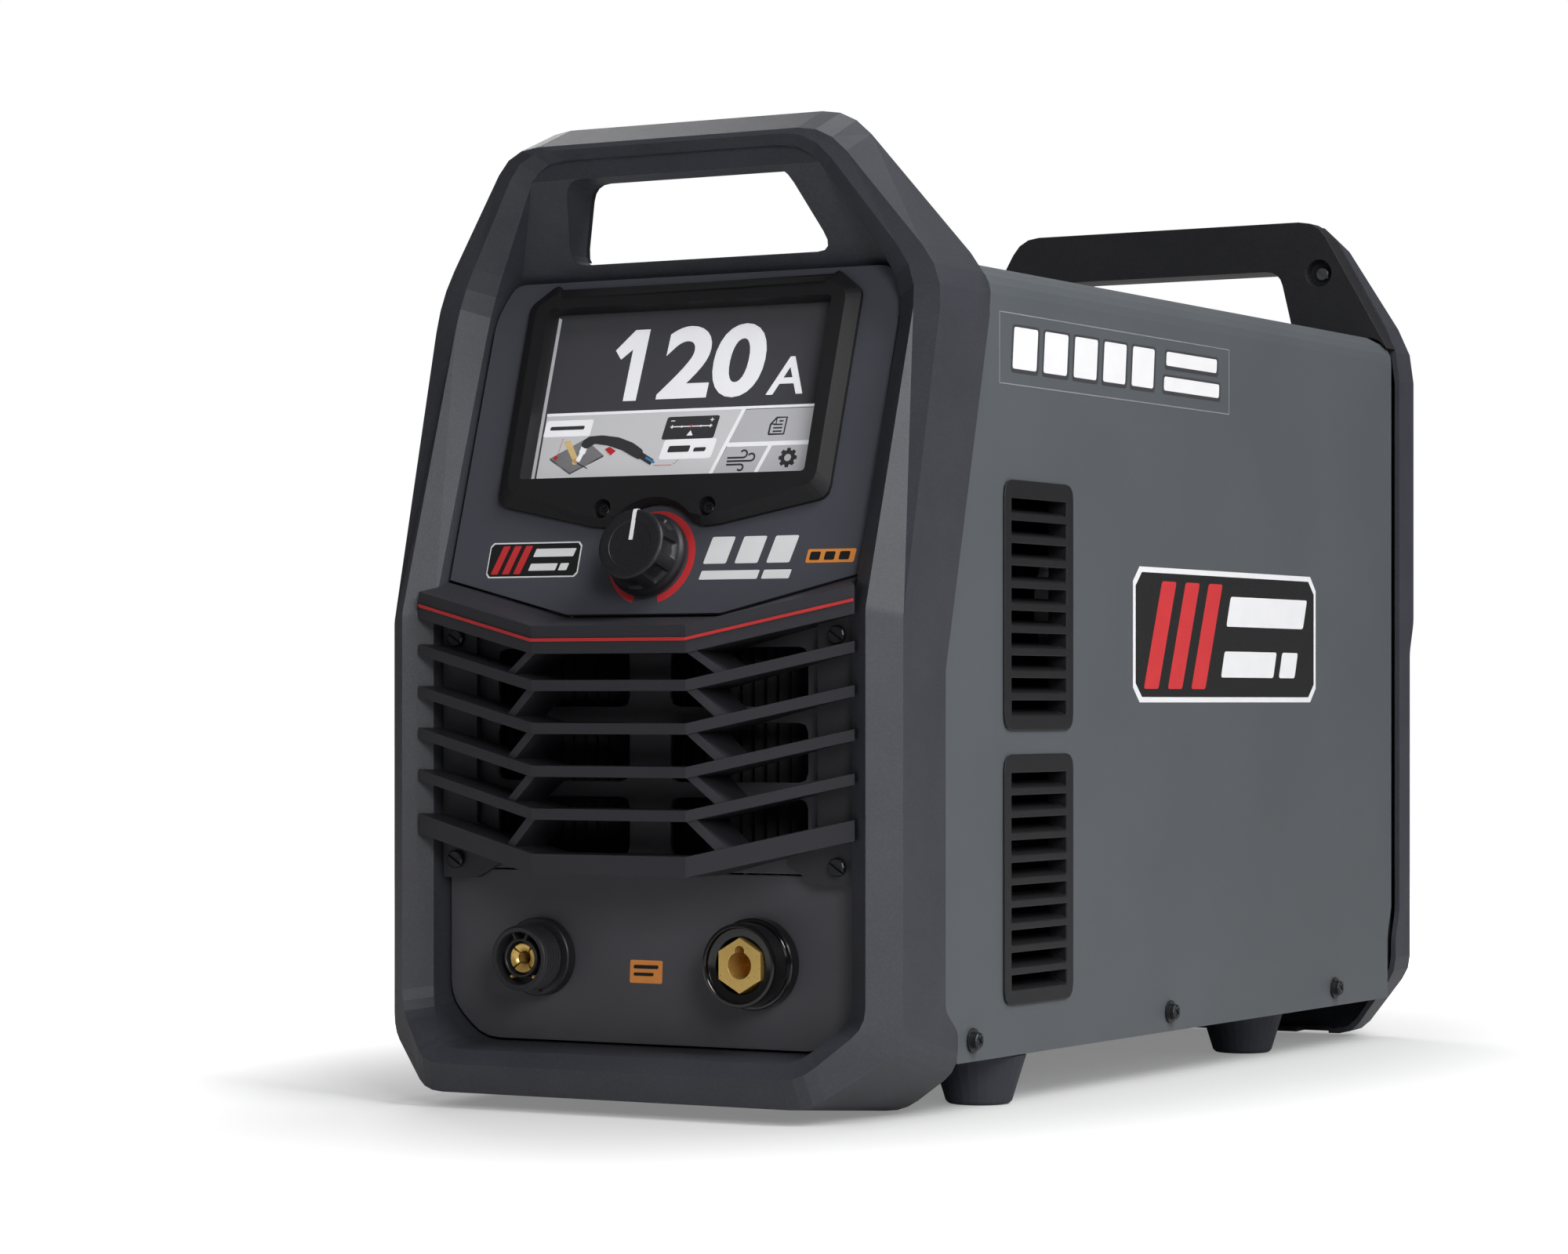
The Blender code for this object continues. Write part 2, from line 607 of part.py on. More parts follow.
def grille_rib(name, side, top, bottom):
    """Short rib from a kink down and outwards to the bar below."""
    top_x = side * (GRILLE_KINK - 0.002)
    foot_x = side * (GRILLE_KINK + 0.0140)
    width = side * 0.0065
    bm = bmesh.new()
    corners = [(top_x, top), (top_x + width, top), (foot_x + width, bottom), (foot_x, bottom)]
    fore = [bm.verts.new(at(x, grille_front(x) + 0.0020, z)) for x, z in corners]
    rear = [bm.verts.new(at(x, GRILLE_BACK - 0.002, z)) for x, z in corners]
    bm.faces.new(fore)
    bm.faces.new(rear)
    for i in range(4):
        j = (i + 1) % 4
        bm.faces.new((fore[i], fore[j], rear[j], rear[i]))
    bmesh.ops.triangulate(bm, faces=bm.faces)
    return publish(name, bm, "panel_plastic", hidden=True)


def make_vent_grille():
    """Louvred front grille: a top bar, four slats and a bottom bar on two side plates."""
    bars = [(0.1174, 0.1274)]
    bars += [(LOWEST_SLAT + SLAT_PITCH * i,
              LOWEST_SLAT + SLAT_PITCH * i + SLAT_THICK) for i in range(SLATS)]
    bars += [(0.2260, 0.2396)]
    low, high = bars[-1]
    grille = grille_bar("vent_grille", low, high, low, 0.2446, GRILLE_BACK + 0.0030)
    grille.hide_render = False
    grille.display_type = "TEXTURED"
    for number, (low, high) in enumerate(bars[:-1]):
        bar = grille_bar(f"grille_bar_{number}", low, high, low, high, GRILLE_BACK)
        combine(grille, bar, "UNION")
    for side in (-1, 1):
        plate = [(side * 0.1194, 0.1135), (side * 0.0990, 0.1135), (side * 0.0820, 0.1228),
                 (side * 0.0820, 0.1330), (side * 0.0990, 0.1420), (side * 0.0990, 0.2500),
                 (side * 0.1194, 0.2560)]
        tab = front_plate("grille_tab", plate, 0.0346, 0.0376, "panel_plastic", True)
        combine(grille, tab, "UNION")
        for number in range(len(bars) - 1):
            top = bars[number + 1][0] + grille_rise(GRILLE_KINK) + 0.0010
            bottom = bars[number][1] + grille_rise(GRILLE_KINK + 0.016) - 0.0010
            rib = grille_rib(f"grille_rib_{number}", side, top, bottom)
            combine(grille, rib, "UNION")
        for z in GRILLE_SCREW_Z:
            hole = turned("tab_hole", [(0, 0.0), (0.0026, 0.0), (0.0026, 0.06), (0, 0.06)], "panel_plastic",
                          Matrix.Translation(at(side * 0.1106, 0.0, z)) @ TOWARDS_BACK, 12, True)
            combine(grille, hole, "DIFFERENCE")
    return grille


def make_grille_stripe():
    """Thin red inlay along the top bar's front face."""
    bm = bmesh.new()
    thick = 0.0007
    rings = []
    for x in (-0.1258, -GRILLE_KINK, GRILLE_KINK, 0.1258):
        front = grille_front(x) - GAP
        rise = grille_rise(x)
        spots = [(front - thick, 0.2319), (front - thick, 0.2335), (front, 0.2335), (front, 0.2319)]
        rings.append([bm.verts.new(at(x, d, z + rise)) for d, z in spots])
    for first, second in zip(rings, rings[1:]):
        for i in range(4):
            j = (i + 1) % 4
            bm.faces.new((first[i], first[j], second[j], second[i]))
    bm.faces.new(rings[0])
    bm.faces.new(rings[-1])
    publish("grille_stripe", bm, "red_trim")


def make_inner_vent_panel():
    """Plate behind the grille with two columns of air openings."""
    outline = rectangle(PANEL_HALF_WIDTH, 0.1185, 0.2390)
    panel = front_plate("inner_vent_panel", outline, LOWER_PANEL_DEPTH, LOWER_PANEL_DEPTH + 0.0025,
                        "dark_panel")
    for side in (-1, 1):
        for row in range(3):
            low = 0.1260 + row * 0.0370
            corners = [(side * 0.0120, low, 0.005), (side * 0.0900, low, 0.005),
                       (side * 0.0900, low + 0.0290, 0.005), (side * 0.0120, low + 0.0290, 0.005)]
            cut = front_plate("air_cut", rounded_outline(corners, 2), 0.03, 0.06, "dark_panel", True)
            combine(panel, cut, "DIFFERENCE")
    return panel


# ---------------------------------------------------------------- connector panel
def make_connector_panel():
    """Lower fascia with the torch and work sockets."""
    half = [(0.0995, 0.0325, 0.010), (0.1190, 0.0515, 0.010), (0.1190, 0.1178, 0.0)]
    outline = rounded_outline(mirrored_corners(half))
    front = LOWER_PANEL_DEPTH
    panel = front_plate("connector_panel", outline, front, front + 0.0025, "dark_panel")
    for side, radius in ((-1, 0.0172), (1, 0.0182)):
        place = Matrix.Translation(at(side * SOCKET_X, 0.0, SOCKET_Z)) @ TOWARDS_BACK
        cut = turned("socket_cut", [(0, 0.02), (radius, 0.02), (radius, 0.06), (0, 0.06)], "dark_panel",
                     place, 28, True)
        combine(panel, cut, "DIFFERENCE")
    return panel


def socket_frame(side):
    """Placement of a socket: its origin on the panel's face, local +Z pointing into the unit."""
    return Matrix.Translation(at(side * SOCKET_X, LOWER_PANEL_DEPTH, SOCKET_Z)) @ TOWARDS_BACK


def make_torch_socket():
    """Central torch connector: threaded black body, key slots, split brass contact."""
    frame = socket_frame(-1)
    profile = [(0.0085, -0.0150), (0.0128, -0.0150), (0.0128, -0.0230), (0.0160, -0.0230),
               (0.0166, -0.0220)]
    profile += [(0.0166, -0.0070), (0.0196, -0.0070), (0.0196, -GAP), (0.0166, -GAP), (0.0166, 0.0180),
                (0.0085, 0.0180)]
    body = turned("torch_socket", profile, "black_plastic", frame, 24)
    for angle in (-62, -118):
        spot = Matrix.Rotation(math.radians(angle), 4, "Z") @ Matrix.Translation((0.0112, 0, -0.019))
        slot = turned("key_slot", [(0, -0.008), (0.0024, -0.008), (0.0024, 0.010), (0, 0.010)],
                      "black_plastic", frame @ spot, 10, True)
        combine(body, slot, "DIFFERENCE")
    bm = bmesh.new()
    add_turned(bm, [(0.0036, -0.0170), (0.0062, -0.0190), (0.0080, -0.0190), (0.0080, 0.0150),
                    (0.0036, 0.0150)], 20)
    publish("torch_contact", bm, "brass", frame)


def make_work_socket():
    """Work lead socket: glossy insulator with a keyed brass hexagon inside."""
    frame = socket_frame(1)
    profile = [(0.0140, -0.0185), (0.0180, -0.0185), (0.0180, -0.0213), (0.0198, -0.0213),
               (0.0206, -0.0203),
               (0.0206, -0.0080), (0.0225, -0.0080), (0.0225, -GAP), (0.0176, -GAP), (0.0176, 0.0180),
               (0.0140, 0.0180)]
    turned("work_socket", profile, "gloss_black", frame, 28)
    flats = 0.0118
    corner = flats / math.cos(math.radians(30))
    bm = bmesh.new()
    hexagon = [(corner * math.cos(math.radians(60 * i + 30)), corner * math.sin(math.radians(60 * i + 30)))
               for i in range(6)]
    add_prism(bm, hexagon, -0.0198, 0.0240)
    insert = publish("work_socket_insert", bm, "brass", frame)
    bore = turned("work_bore", [(0, -0.03), (0.0066, -0.03), (0.0066, 0.012), (0, 0.012)], "brass", frame,
                  24, True)
    combine(insert, bore, "DIFFERENCE")
    bm = bmesh.new()
    add_turned(bm, [(0, -0.03), (0.0027, -0.03), (0.0027, 0.004), (0, 0.004)], 12,
               Matrix.Translation((0, -0.0070, 0)))
    combine(insert, publish("work_key", bm, "brass", frame, True), "DIFFERENCE")


# ---------------------------------------------------------------- case, pan, feet
def case_section(half_width, top, radius, low):
    """Right-hand half of the case's arch, from its foot up to the start of the roof."""
    points = [(half_width, low)]
    steps = 5
    for k in range(steps + 1):
        angle = math.radians(90 * k / steps)
        points.append((half_width - radius + radius * math.cos(angle),
                       top - radius + radius * math.sin(angle)))
    return points


def arch(half_width, top, radius, low, thick):
    """Closed outline of a sheet bent into an arch."""
    outer = case_section(half_width, top, radius, low)
    inner = case_section(half_width - thick, top - thick, radius - thick, low)
    outside = outer + [(-x, z) for x, z in reversed(outer)]
    inside = inner + [(-x, z) for x, z in reversed(inner)]
    return outside + inside[::-1]


def rear_notch(name, depth, step):
    """Cutter that sets the lower end of a rear edge forward, with a slanted transition."""
    profile = [(depth - step, 0.0), (depth - step, 0.0600), (depth - step * 0.8, 0.0660),
               (depth - step * 0.2, 0.0760),
               (depth + 0.0010, 0.0820), (depth + 0.03, 0.0820), (depth + 0.03, 0.0)]
    bm = bmesh.new()
    add_side_prism(bm, profile, -0.2, 0.2)
    return publish(name, bm, "case_paint", hidden=True)


def make_case_cover():
    """Powder-coated sheet cover: both sides and the roof, with a stepped-in rear lip."""
    outline = arch(CASE_HALF_WIDTH, CASE_TOP, CASE_EDGE_RADIUS, CASE_BOTTOM, SHEET)
    cover = front_plate("case_cover", outline, 0.060, CASE_REAR, "case_paint")
    combine(cover, rear_notch("sheet_notch", CASE_REAR, 0.0087), "DIFFERENCE")
    step = arch(CASE_HALF_WIDTH - 0.0012, CASE_TOP - 0.0012, CASE_EDGE_RADIUS - 0.0012, CASE_BOTTOM, SHEET)
    lip = front_plate("case_lip", step, CASE_REAR - 0.0150, CASE_LIP_REAR, "case_paint", True)
    combine(cover, lip, "UNION")
    combine(cover, rear_notch("lip_notch", CASE_LIP_REAR, 0.0058), "DIFFERENCE")

    line = case_front_line()
    trim = [(0.04, 0.0)] + [(line[0][0] + GAP, 0.0)] + [(d + GAP, z) for d, z in line]
    roof_front = 0.1192
    trim += [(roof_front, CASE_TOP + 0.02), (0.04, CASE_TOP + 0.02)]
    bm = bmesh.new()
    add_side_prism(bm, trim, -0.2, 0.2)
    combine(cover, publish("case_trim", bm, "case_paint", hidden=True), "DIFFERENCE")

    for side in (-1, 1):
        for low in VENT_BOTTOMS:
            corners = [(VENT_FRONT + 0.003, low + 0.003, 0.006), (VENT_REAR - 0.003, low + 0.003, 0.006),
                       (VENT_REAR - 0.003, low + VENT_HEIGHT - 0.003, 0.006),
                       (VENT_FRONT + 0.003, low + VENT_HEIGHT - 0.003, 0.006)]
            bm = bmesh.new()
            add_side_prism(bm, rounded_outline(corners, 2), side * 0.13, side * 0.16)
            combine(cover, publish("vent_cut", bm, "case_paint", hidden=True), "DIFFERENCE")
        for depth in SIDE_SCREW_DEPTHS:
            place = Matrix.Translation(at(side * 0.13, depth, SIDE_SCREW_Z)) @ TOWARDS_RIGHT
            hole = turned("side_hole", [(0, -0.05), (0.0028, -0.05), (0.0028, 0.05), (0, 0.05)],
                          "case_paint", place, 10, True)
            combine(cover, hole, "DIFFERENCE")
    return cover


def make_base_pan():
    """Floor pan with upturned side flanges that the cover is screwed to."""
    outer = CASE_HALF_WIDTH - SHEET - GAP - 0.0016
    flange_top = 0.0520
    outline = [(-outer, flange_top), (-outer, CASE_BOTTOM), (outer, CASE_BOTTOM), (outer, flange_top),
               (outer - SHEET, flange_top), (outer - SHEET, CASE_BOTTOM + SHEET),
               (-outer + SHEET, CASE_BOTTOM + SHEET), (-outer + SHEET, flange_top)]
    pan = front_plate("base_pan", outline, 0.0885, 0.6395, "zinc_steel")
    for side in (-1, 1):
        for depth in SIDE_SCREW_DEPTHS:
            place = Matrix.Translation(at(side * 0.13, depth, SIDE_SCREW_Z)) @ TOWARDS_RIGHT
            hole = turned("pan_hole", [(0, -0.05), (0.0028, -0.05), (0.0028, 0.05), (0, 0.05)],
                          "zinc_steel", place, 10, True)
            combine(pan, hole, "DIFFERENCE")
    return pan


def make_feet():
    """Four tapered rubber feet."""
    profile = [(0, 0.0), (0.0152, 0.0), (0.0168, 0.0014), (0.0238, 0.0240), (0.0238, FOOT_HEIGHT),
               (0, FOOT_HEIGHT)]
    for end, (across, depth) in FOOT_PLACES.items():
        for side, hand in ((-1, "left"), (1, "right")):
            turned(f"foot_{end}_{hand}", profile, "rubber",
                   Matrix.Translation(at(side * across, depth, 0.0)), 28)


def make_side_vents():
    """Louvred inserts in the cover's openings: a raised frame round slanted slats."""
    proud = 0.0014
    deep = 0.0110
    for side, hand in ((-1, "left"), (1, "right")):
        for level, low in zip(("lower", "upper"), VENT_BOTTOMS):
            face = side * (CASE_HALF_WIDTH + proud)
            back = side * (CASE_HALF_WIDTH + GAP)
            high = low + VENT_HEIGHT
            frame = [(VENT_FRONT, low, 0.008), (VENT_REAR, low, 0.008), (VENT_REAR, high, 0.008),
                     (VENT_FRONT, high, 0.008)]
            bm = bmesh.new()
            add_side_prism(bm, rounded_outline(frame, 3), back, face)
            insert = publish(f"vent_{level}_{hand}", bm, "black_plastic")
            edge = 0.0035
            plug = [(VENT_FRONT + edge, low + edge, 0.006), (VENT_REAR - edge, low + edge, 0.006),
                    (VENT_REAR - edge, high - edge, 0.006), (VENT_FRONT + edge, high - edge, 0.006)]
            bm = bmesh.new()
            add_side_prism(bm, rounded_outline(plug, 2), face - side * 0.0005, face - side * deep)
            combine(insert, publish("vent_plug", bm, "black_plastic", hidden=True), "UNION")
            combine(insert, vent_slots(side, face, low, deep), "DIFFERENCE")


def vent_slots(side, face, low, deep):
    """Cutter of ten slanted slots that leaves nine slats."""
    margin = 0.0065
    pitch = (VENT_HEIGHT - 2 * margin) / (VENT_SLATS + 1)
    slot = pitch - 0.0036
    drop = 0.0060
    bm = bmesh.new()
    for row in range(VENT_SLATS + 1):
        z = low + margin + pitch * row + 0.0018
        near, far = face + side * 0.002, face - side * (deep + 0.002)
        corners = [(near, z - drop * 0.25), (near, z + slot - drop * 0.25), (far, z + slot + drop * 0.5),
                   (far, z + drop * 0.5)]
        fore = [bm.verts.new(at(x, VENT_FRONT + 0.0075, h)) for x, h in corners]
        rear = [bm.verts.new(at(x, VENT_REAR - 0.0075, h)) for x, h in corners]
        bm.faces.new(fore)
        bm.faces.new(rear)
        for i in range(4):
            j = (i + 1) % 4
            bm.faces.new((fore[i], fore[j], rear[j], rear[i]))
    return publish("vent_slots", bm, "black_plastic", hidden=True)


# ---------------------------------------------------------------- rear end
# Corners of the right half: bottom, lower side, low step, high step, low kink, high kink, shoulder, top.
REAR_EDGE = [(0.119, 0.6518, 0.002), (0.1475, 0.6518, 0.0405), (0.1475, 0.6518, 0.0600),
             (0.1475, 0.6578, 0.0760), (0.1475, 0.6578, 0.232), (0.1475, 0.6578, 0.250),
             (0.1475, 0.6578, 0.413), (0.1010, 0.6578, 0.4925)]
REAR_CREASE = [(0.118, 0.6720, 0.0025), (0.1475, 0.6745, 0.0410), (0.1475, 0.6745, 0.0600),
               (0.1475, 0.6745, 0.0760), (0.1475, 0.6745, 0.232), (0.1475, 0.6805, 0.250),
               (0.1475, 0.6805, 0.413), (0.0985, 0.6800, 0.4885)]
REAR_RIDGE = [(0.112, 0.6810, 0.0105), (0.1390, 0.6815, 0.0440), (0.1390, 0.6815, 0.0600),
              (0.1390, 0.6815, 0.0760), (0.1390, 0.6815, 0.232), (0.1390, 0.6875, 0.250),
              (0.1390, 0.6875, 0.411), (0.0930, 0.6850, 0.4840)]
REAR_CHAMFER = [(0.105, 0.6750, 0.0200), (0.1275, 0.6755, 0.0480), (0.1275, 0.6755, 0.0620),
                (0.1275, 0.6755, 0.0760), (0.1275, 0.6755, 0.232), (0.1275, 0.6805, 0.250),
                (0.1275, 0.6805, 0.405), (0.0870, 0.6820, 0.4755)]
REAR_INNER = [(0.1035, 0.6580, 0.0225), (0.1260, 0.6580, 0.0500), (0.1260, 0.6580, 0.0630),
              (0.1260, 0.6580, 0.0760), (0.1260, 0.6580, 0.232), (0.1260, 0.6580, 0.250),
              (0.1260, 0.6580, 0.403), (0.0855, 0.6580, 0.4720)]
REAR_INWARD = [(-0.45, 1.0), (-1.0, 0.45), (-1.0, 0.0), (-1.0, 0.0), (-1.0, 0.0), (-1.0, 0.0),
               (-1.0, -0.45),
               (-0.55, -1.0)]
REAR_ROUNDING = (0.008, 0.008, 0.004, 0.004, 0.003, 0.003, 0.018, 0.014)


def make_rear_frame():
    """Moulded rear frame with the rear carrying handle."""
    outer = [REAR_INNER, REAR_CHAMFER, REAR_RIDGE, REAR_CREASE, REAR_EDGE]
    inner = [moved(REAR_EDGE, REAR_INWARD, WALL, 0.0),
             moved(REAR_CREASE, REAR_INWARD, WALL, -WALL),
             moved(REAR_CHAMFER, REAR_INWARD, -WALL, -WALL),
             moved(REAR_INNER, REAR_INWARD, -WALL, 0.0)]
    loops = [rounded_loop(half, REAR_ROUNDING, 2) for half in outer + inner]
    frame = ring_shell("rear_frame", loops, "bezel_plastic")
    profile = [(REAR_FRAME_FRONT + 0.0002, 0.408), (REAR_FRAME_FRONT + 0.0002, 0.4900), (0.6798, 0.4866),
               (0.6798, 0.4650), (0.6700, 0.4220), (0.6690, 0.408)]
    bm = bmesh.new()
    add_side_prism(bm, profile, -0.15, 0.15)
    block = publish("rear_handle_block", bm, "bezel_plastic", hidden=True)
    core = wall_core("rear_trim", REAR_EDGE, REAR_CREASE, REAR_INWARD, REAR_ROUNDING, 2)
    combine(block, core, "INTERSECT")
    combine(frame, block, "UNION")
    hole = rounded_outline(mirrored_corners([(0.088, 0.4240, 0.010), (0.0747, 0.4640, 0.009)]), 4)
    combine(frame, front_plate("rear_hole", hole, 0.60, 0.72, "bezel_plastic", True), "DIFFERENCE")
    for side in (-1, 1):
        notch = [(side * 0.0828, -0.01), (side * 0.0834, 0.0072), (side * 0.0880, 0.0086),
                 (side * 0.0960, 0.0090), (side * 0.1040, 0.0086), (side * 0.1045, -0.01)]
        combine(frame, front_plate("cord_notch", notch, 0.60, 0.6640, "bezel_plastic", True), "DIFFERENCE")
    return frame


def make_rear_handle_cover():
    """Front half of the rear handle, black, with two countersunk screw wells."""
    front, back = 0.6440, REAR_FRAME_FRONT - 0.0002
    outline = rounded_outline(mirrored_corners([(0.1452, 0.4140, 0.0), (0.0998, 0.4925, 0.012)]))
    cover = front_plate("rear_handle_cover", outline, front, back, "black_plastic")
    hole = rounded_outline(mirrored_corners([(0.0886, 0.4080, 0.004), (0.0752, 0.4634, 0.009)]), 4)
    combine(cover, front_plate("rear_cover_hole", hole, 0.60, 0.70, "black_plastic", True), "DIFFERENCE")
    clear = 0.0005
    roof = case_section(CASE_HALF_WIDTH + clear, CASE_TOP + clear, CASE_EDGE_RADIUS + clear, CASE_BOTTOM)
    saddle = roof + [(-x, z) for x, z in reversed(roof)]
    combine(cover, front_plate("saddle", saddle, 0.60, 0.70, "black_plastic", True), "DIFFERENCE")
    for side in (-1, 1):
        place = Matrix.Translation(at(side * REAR_SCREW[0], front, REAR_SCREW[1])) @ TOWARDS_BACK
        well = turned("screw_well", [(0, -0.01), (0.0086, -0.01), (0.0080, REAR_WELL_DEEP),
                                     (0, REAR_WELL_DEEP)],
                      "black_plastic", place, 20, True)
        combine(cover, well, "DIFFERENCE")
    return cover


def make_rear_panel():
    """Sheet-steel rear panel, flanged forward into the case, with openings for the fan and fittings."""
    half = [(0.1120, 0.0200, 0.0), (0.1305, 0.0285, 0.0), (0.1425, 0.0435, 0.0), (0.1425, 0.4165, 0.0140)]
    outline = rounded_outline(mirrored_corners(half))
    panel = front_plate("rear_panel", outline, REAR_PANEL_DEPTH - 0.0155, REAR_PANEL_DEPTH + SHEET,
                        "black_plastic")
    inner = 0.1425 - SHEET
    half = [(0.1116, 0.0200 + SHEET, 0.0), (0.1297, 0.0299, 0.0), (inner, 0.0440, 0.0),
            (inner, 0.4165 - SHEET, 0.0125)]
    inside = rounded_outline(mirrored_corners(half))
    tray = front_plate("panel_tray", inside, REAR_PANEL_DEPTH - 0.03, REAR_PANEL_DEPTH, "black_plastic",
                       True)
    combine(panel, tray, "DIFFERENCE")
    holes = [(FAN_X, FAN_Z, FAN_RADIUS, 36), (POWER_SWITCH[0], POWER_SWITCH[1], 0.0125, 20),
             (GLAND[0], GLAND[1], 0.0125, 20), (AIR_INLET[0], AIR_INLET[1], 0.0085, 16)]
    for x, z, radius, segments in holes:
        place = Matrix.Translation(at(x, REAR_PANEL_DEPTH, z)) @ TOWARDS_BACK
        cut = turned("rear_cut", [(0, -0.02), (radius, -0.02), (radius, 0.02), (0, 0.02)], "black_plastic",
                     place, segments, True)
        combine(panel, cut, "DIFFERENCE")
    return panel


def make_fan():
    """Axial fan: square frame, bladed rotor, and the guard outside the rear panel."""
    back = REAR_PANEL_DEPTH - GAP
    front = back - 0.0380
    half = 0.0700
    corners = [(FAN_X - half, FAN_Z - half, 0.008), (FAN_X + half, FAN_Z - half, 0.008),
               (FAN_X + half, FAN_Z + half, 0.008), (FAN_X - half, FAN_Z + half, 0.008)]
    frame = front_plate("fan_frame", rounded_outline(corners, 2), front, back, "black_plastic")
    axis = Matrix.Translation(at(FAN_X, front, FAN_Z)) @ TOWARDS_BACK
    tunnel = turned("fan_tunnel", [(0, -0.01), (FAN_RADIUS, -0.01), (FAN_RADIUS, 0.05), (0, 0.05)],
                    "black_plastic", axis, 36, True)
    combine(frame, tunnel, "DIFFERENCE")
    bm = bmesh.new()
    add_turned(bm, [(0, 0.0005), (0.0200, 0.0005), (0.0200, 0.0045), (0, 0.0045)], 20)
    motor_plate = publish("fan_motor_plate", bm, "black_plastic", axis, True)
    combine(frame, motor_plate, "UNION")
    for spoke in range(3):
        turn = Matrix.Rotation(math.radians(90 + 120 * spoke), 4, "Z")
        bm = bmesh.new()
        add_box(bm, (0.010, -0.0025, 0.0008), (0.0675, 0.0025, 0.0042))
        combine(frame, publish("fan_spoke", bm, "black_plastic", axis @ turn, True), "UNION")

    rotor = turned("fan_rotor", [(0, 0.0055), (0.0210, 0.0055), (0.0210, 0.0330), (0.0190, 0.0345),
                                 (0, 0.0345)],
                   "black_plastic", axis, 28)
    for blade in range(FAN_BLADES):
        turn = Matrix.Rotation(2 * math.pi * blade / FAN_BLADES, 4, "Z")
        pitch = Matrix.Translation((0, 0, 0.0192)) @ Matrix.Rotation(math.radians(36), 4, "X")
        bm = bmesh.new()
        add_box(bm, (0.0180, -0.0130, -0.0009), (0.0620, 0.0130, 0.0009))
        combine(rotor, publish("fan_blade", bm, "black_plastic", axis @ turn @ pitch, True), "UNION")
    make_fan_guard()


def make_fan_guard():
    """Slotted guard over the fan's opening, outside the rear panel."""
    front = REAR_PANEL_DEPTH + SHEET + GAP
    back = front + 0.0050
    half = 0.0710
    corners = [(FAN_X - half, FAN_Z - half, 0.010), (FAN_X + half, FAN_Z - half, 0.010),
               (FAN_X + half, FAN_Z + half, 0.010), (FAN_X - half, FAN_Z + half, 0.010)]
    guard = front_plate("fan_guard", rounded_outline(corners, 3), front, back, "black_plastic")
    bm = bmesh.new()
    rows = 11
    pitch = 2 * FAN_RADIUS / rows
    for row in range(rows):
        low = FAN_Z - FAN_RADIUS + pitch * row + 0.0022
        high = low + pitch - 0.0044
        furthest = max(abs(low - FAN_Z), abs(high - FAN_Z))
        reach = math.sqrt(max(0.0, (FAN_RADIUS - 0.001) ** 2 - furthest ** 2))
        reach = max(reach, 0.014)
        for left, right in ((-reach, -0.002), (0.002, reach)):
            add_front_prism(bm, [(FAN_X + left, low), (FAN_X + right, low), (FAN_X + right, high),
                                 (FAN_X + left, high)], front - 0.01, back + 0.01)
    combine(guard, publish("guard_slots", bm, "black_plastic", hidden=True), "DIFFERENCE")


def make_power_switch():
    """Rotary mains switch: body through the rear panel, and its turning handle."""
    x, z = POWER_SWITCH
    frame = Matrix.Translation(at(x, REAR_PANEL_DEPTH + SHEET, z)) @ TOWARDS_BACK
    bm = bmesh.new()
    add_turned(bm, [(0, -0.0450), (0.0120, -0.0450), (0.0120, GAP), (0.0230, GAP), (0.0230, 0.0050),
                    (0, 0.0050)],
               28)
    body = publish("power_switch_body", bm, "gloss_black", frame)
    bore = turned("switch_bore", [(0, -0.004), (0.0044, -0.004), (0.0044, 0.02), (0, 0.02)], "gloss_black",
                  frame, 16, True)
    combine(body, bore, "DIFFERENCE")
    handle = turned("power_switch_handle",
                    [(0, -0.0030), (0.0040, -0.0030), (0.0040, 0.0056), (0.0200, 0.0056),
                                            (0.0190, 0.0110), (0, 0.0110)], "black_plastic", frame, 28)
    bm = bmesh.new()
    add_box(bm, (-0.0045, -0.0180, 0.0100), (0.0045, 0.0180, 0.0220))
    combine(handle, publish("switch_grip", bm, "black_plastic", frame, True), "UNION")


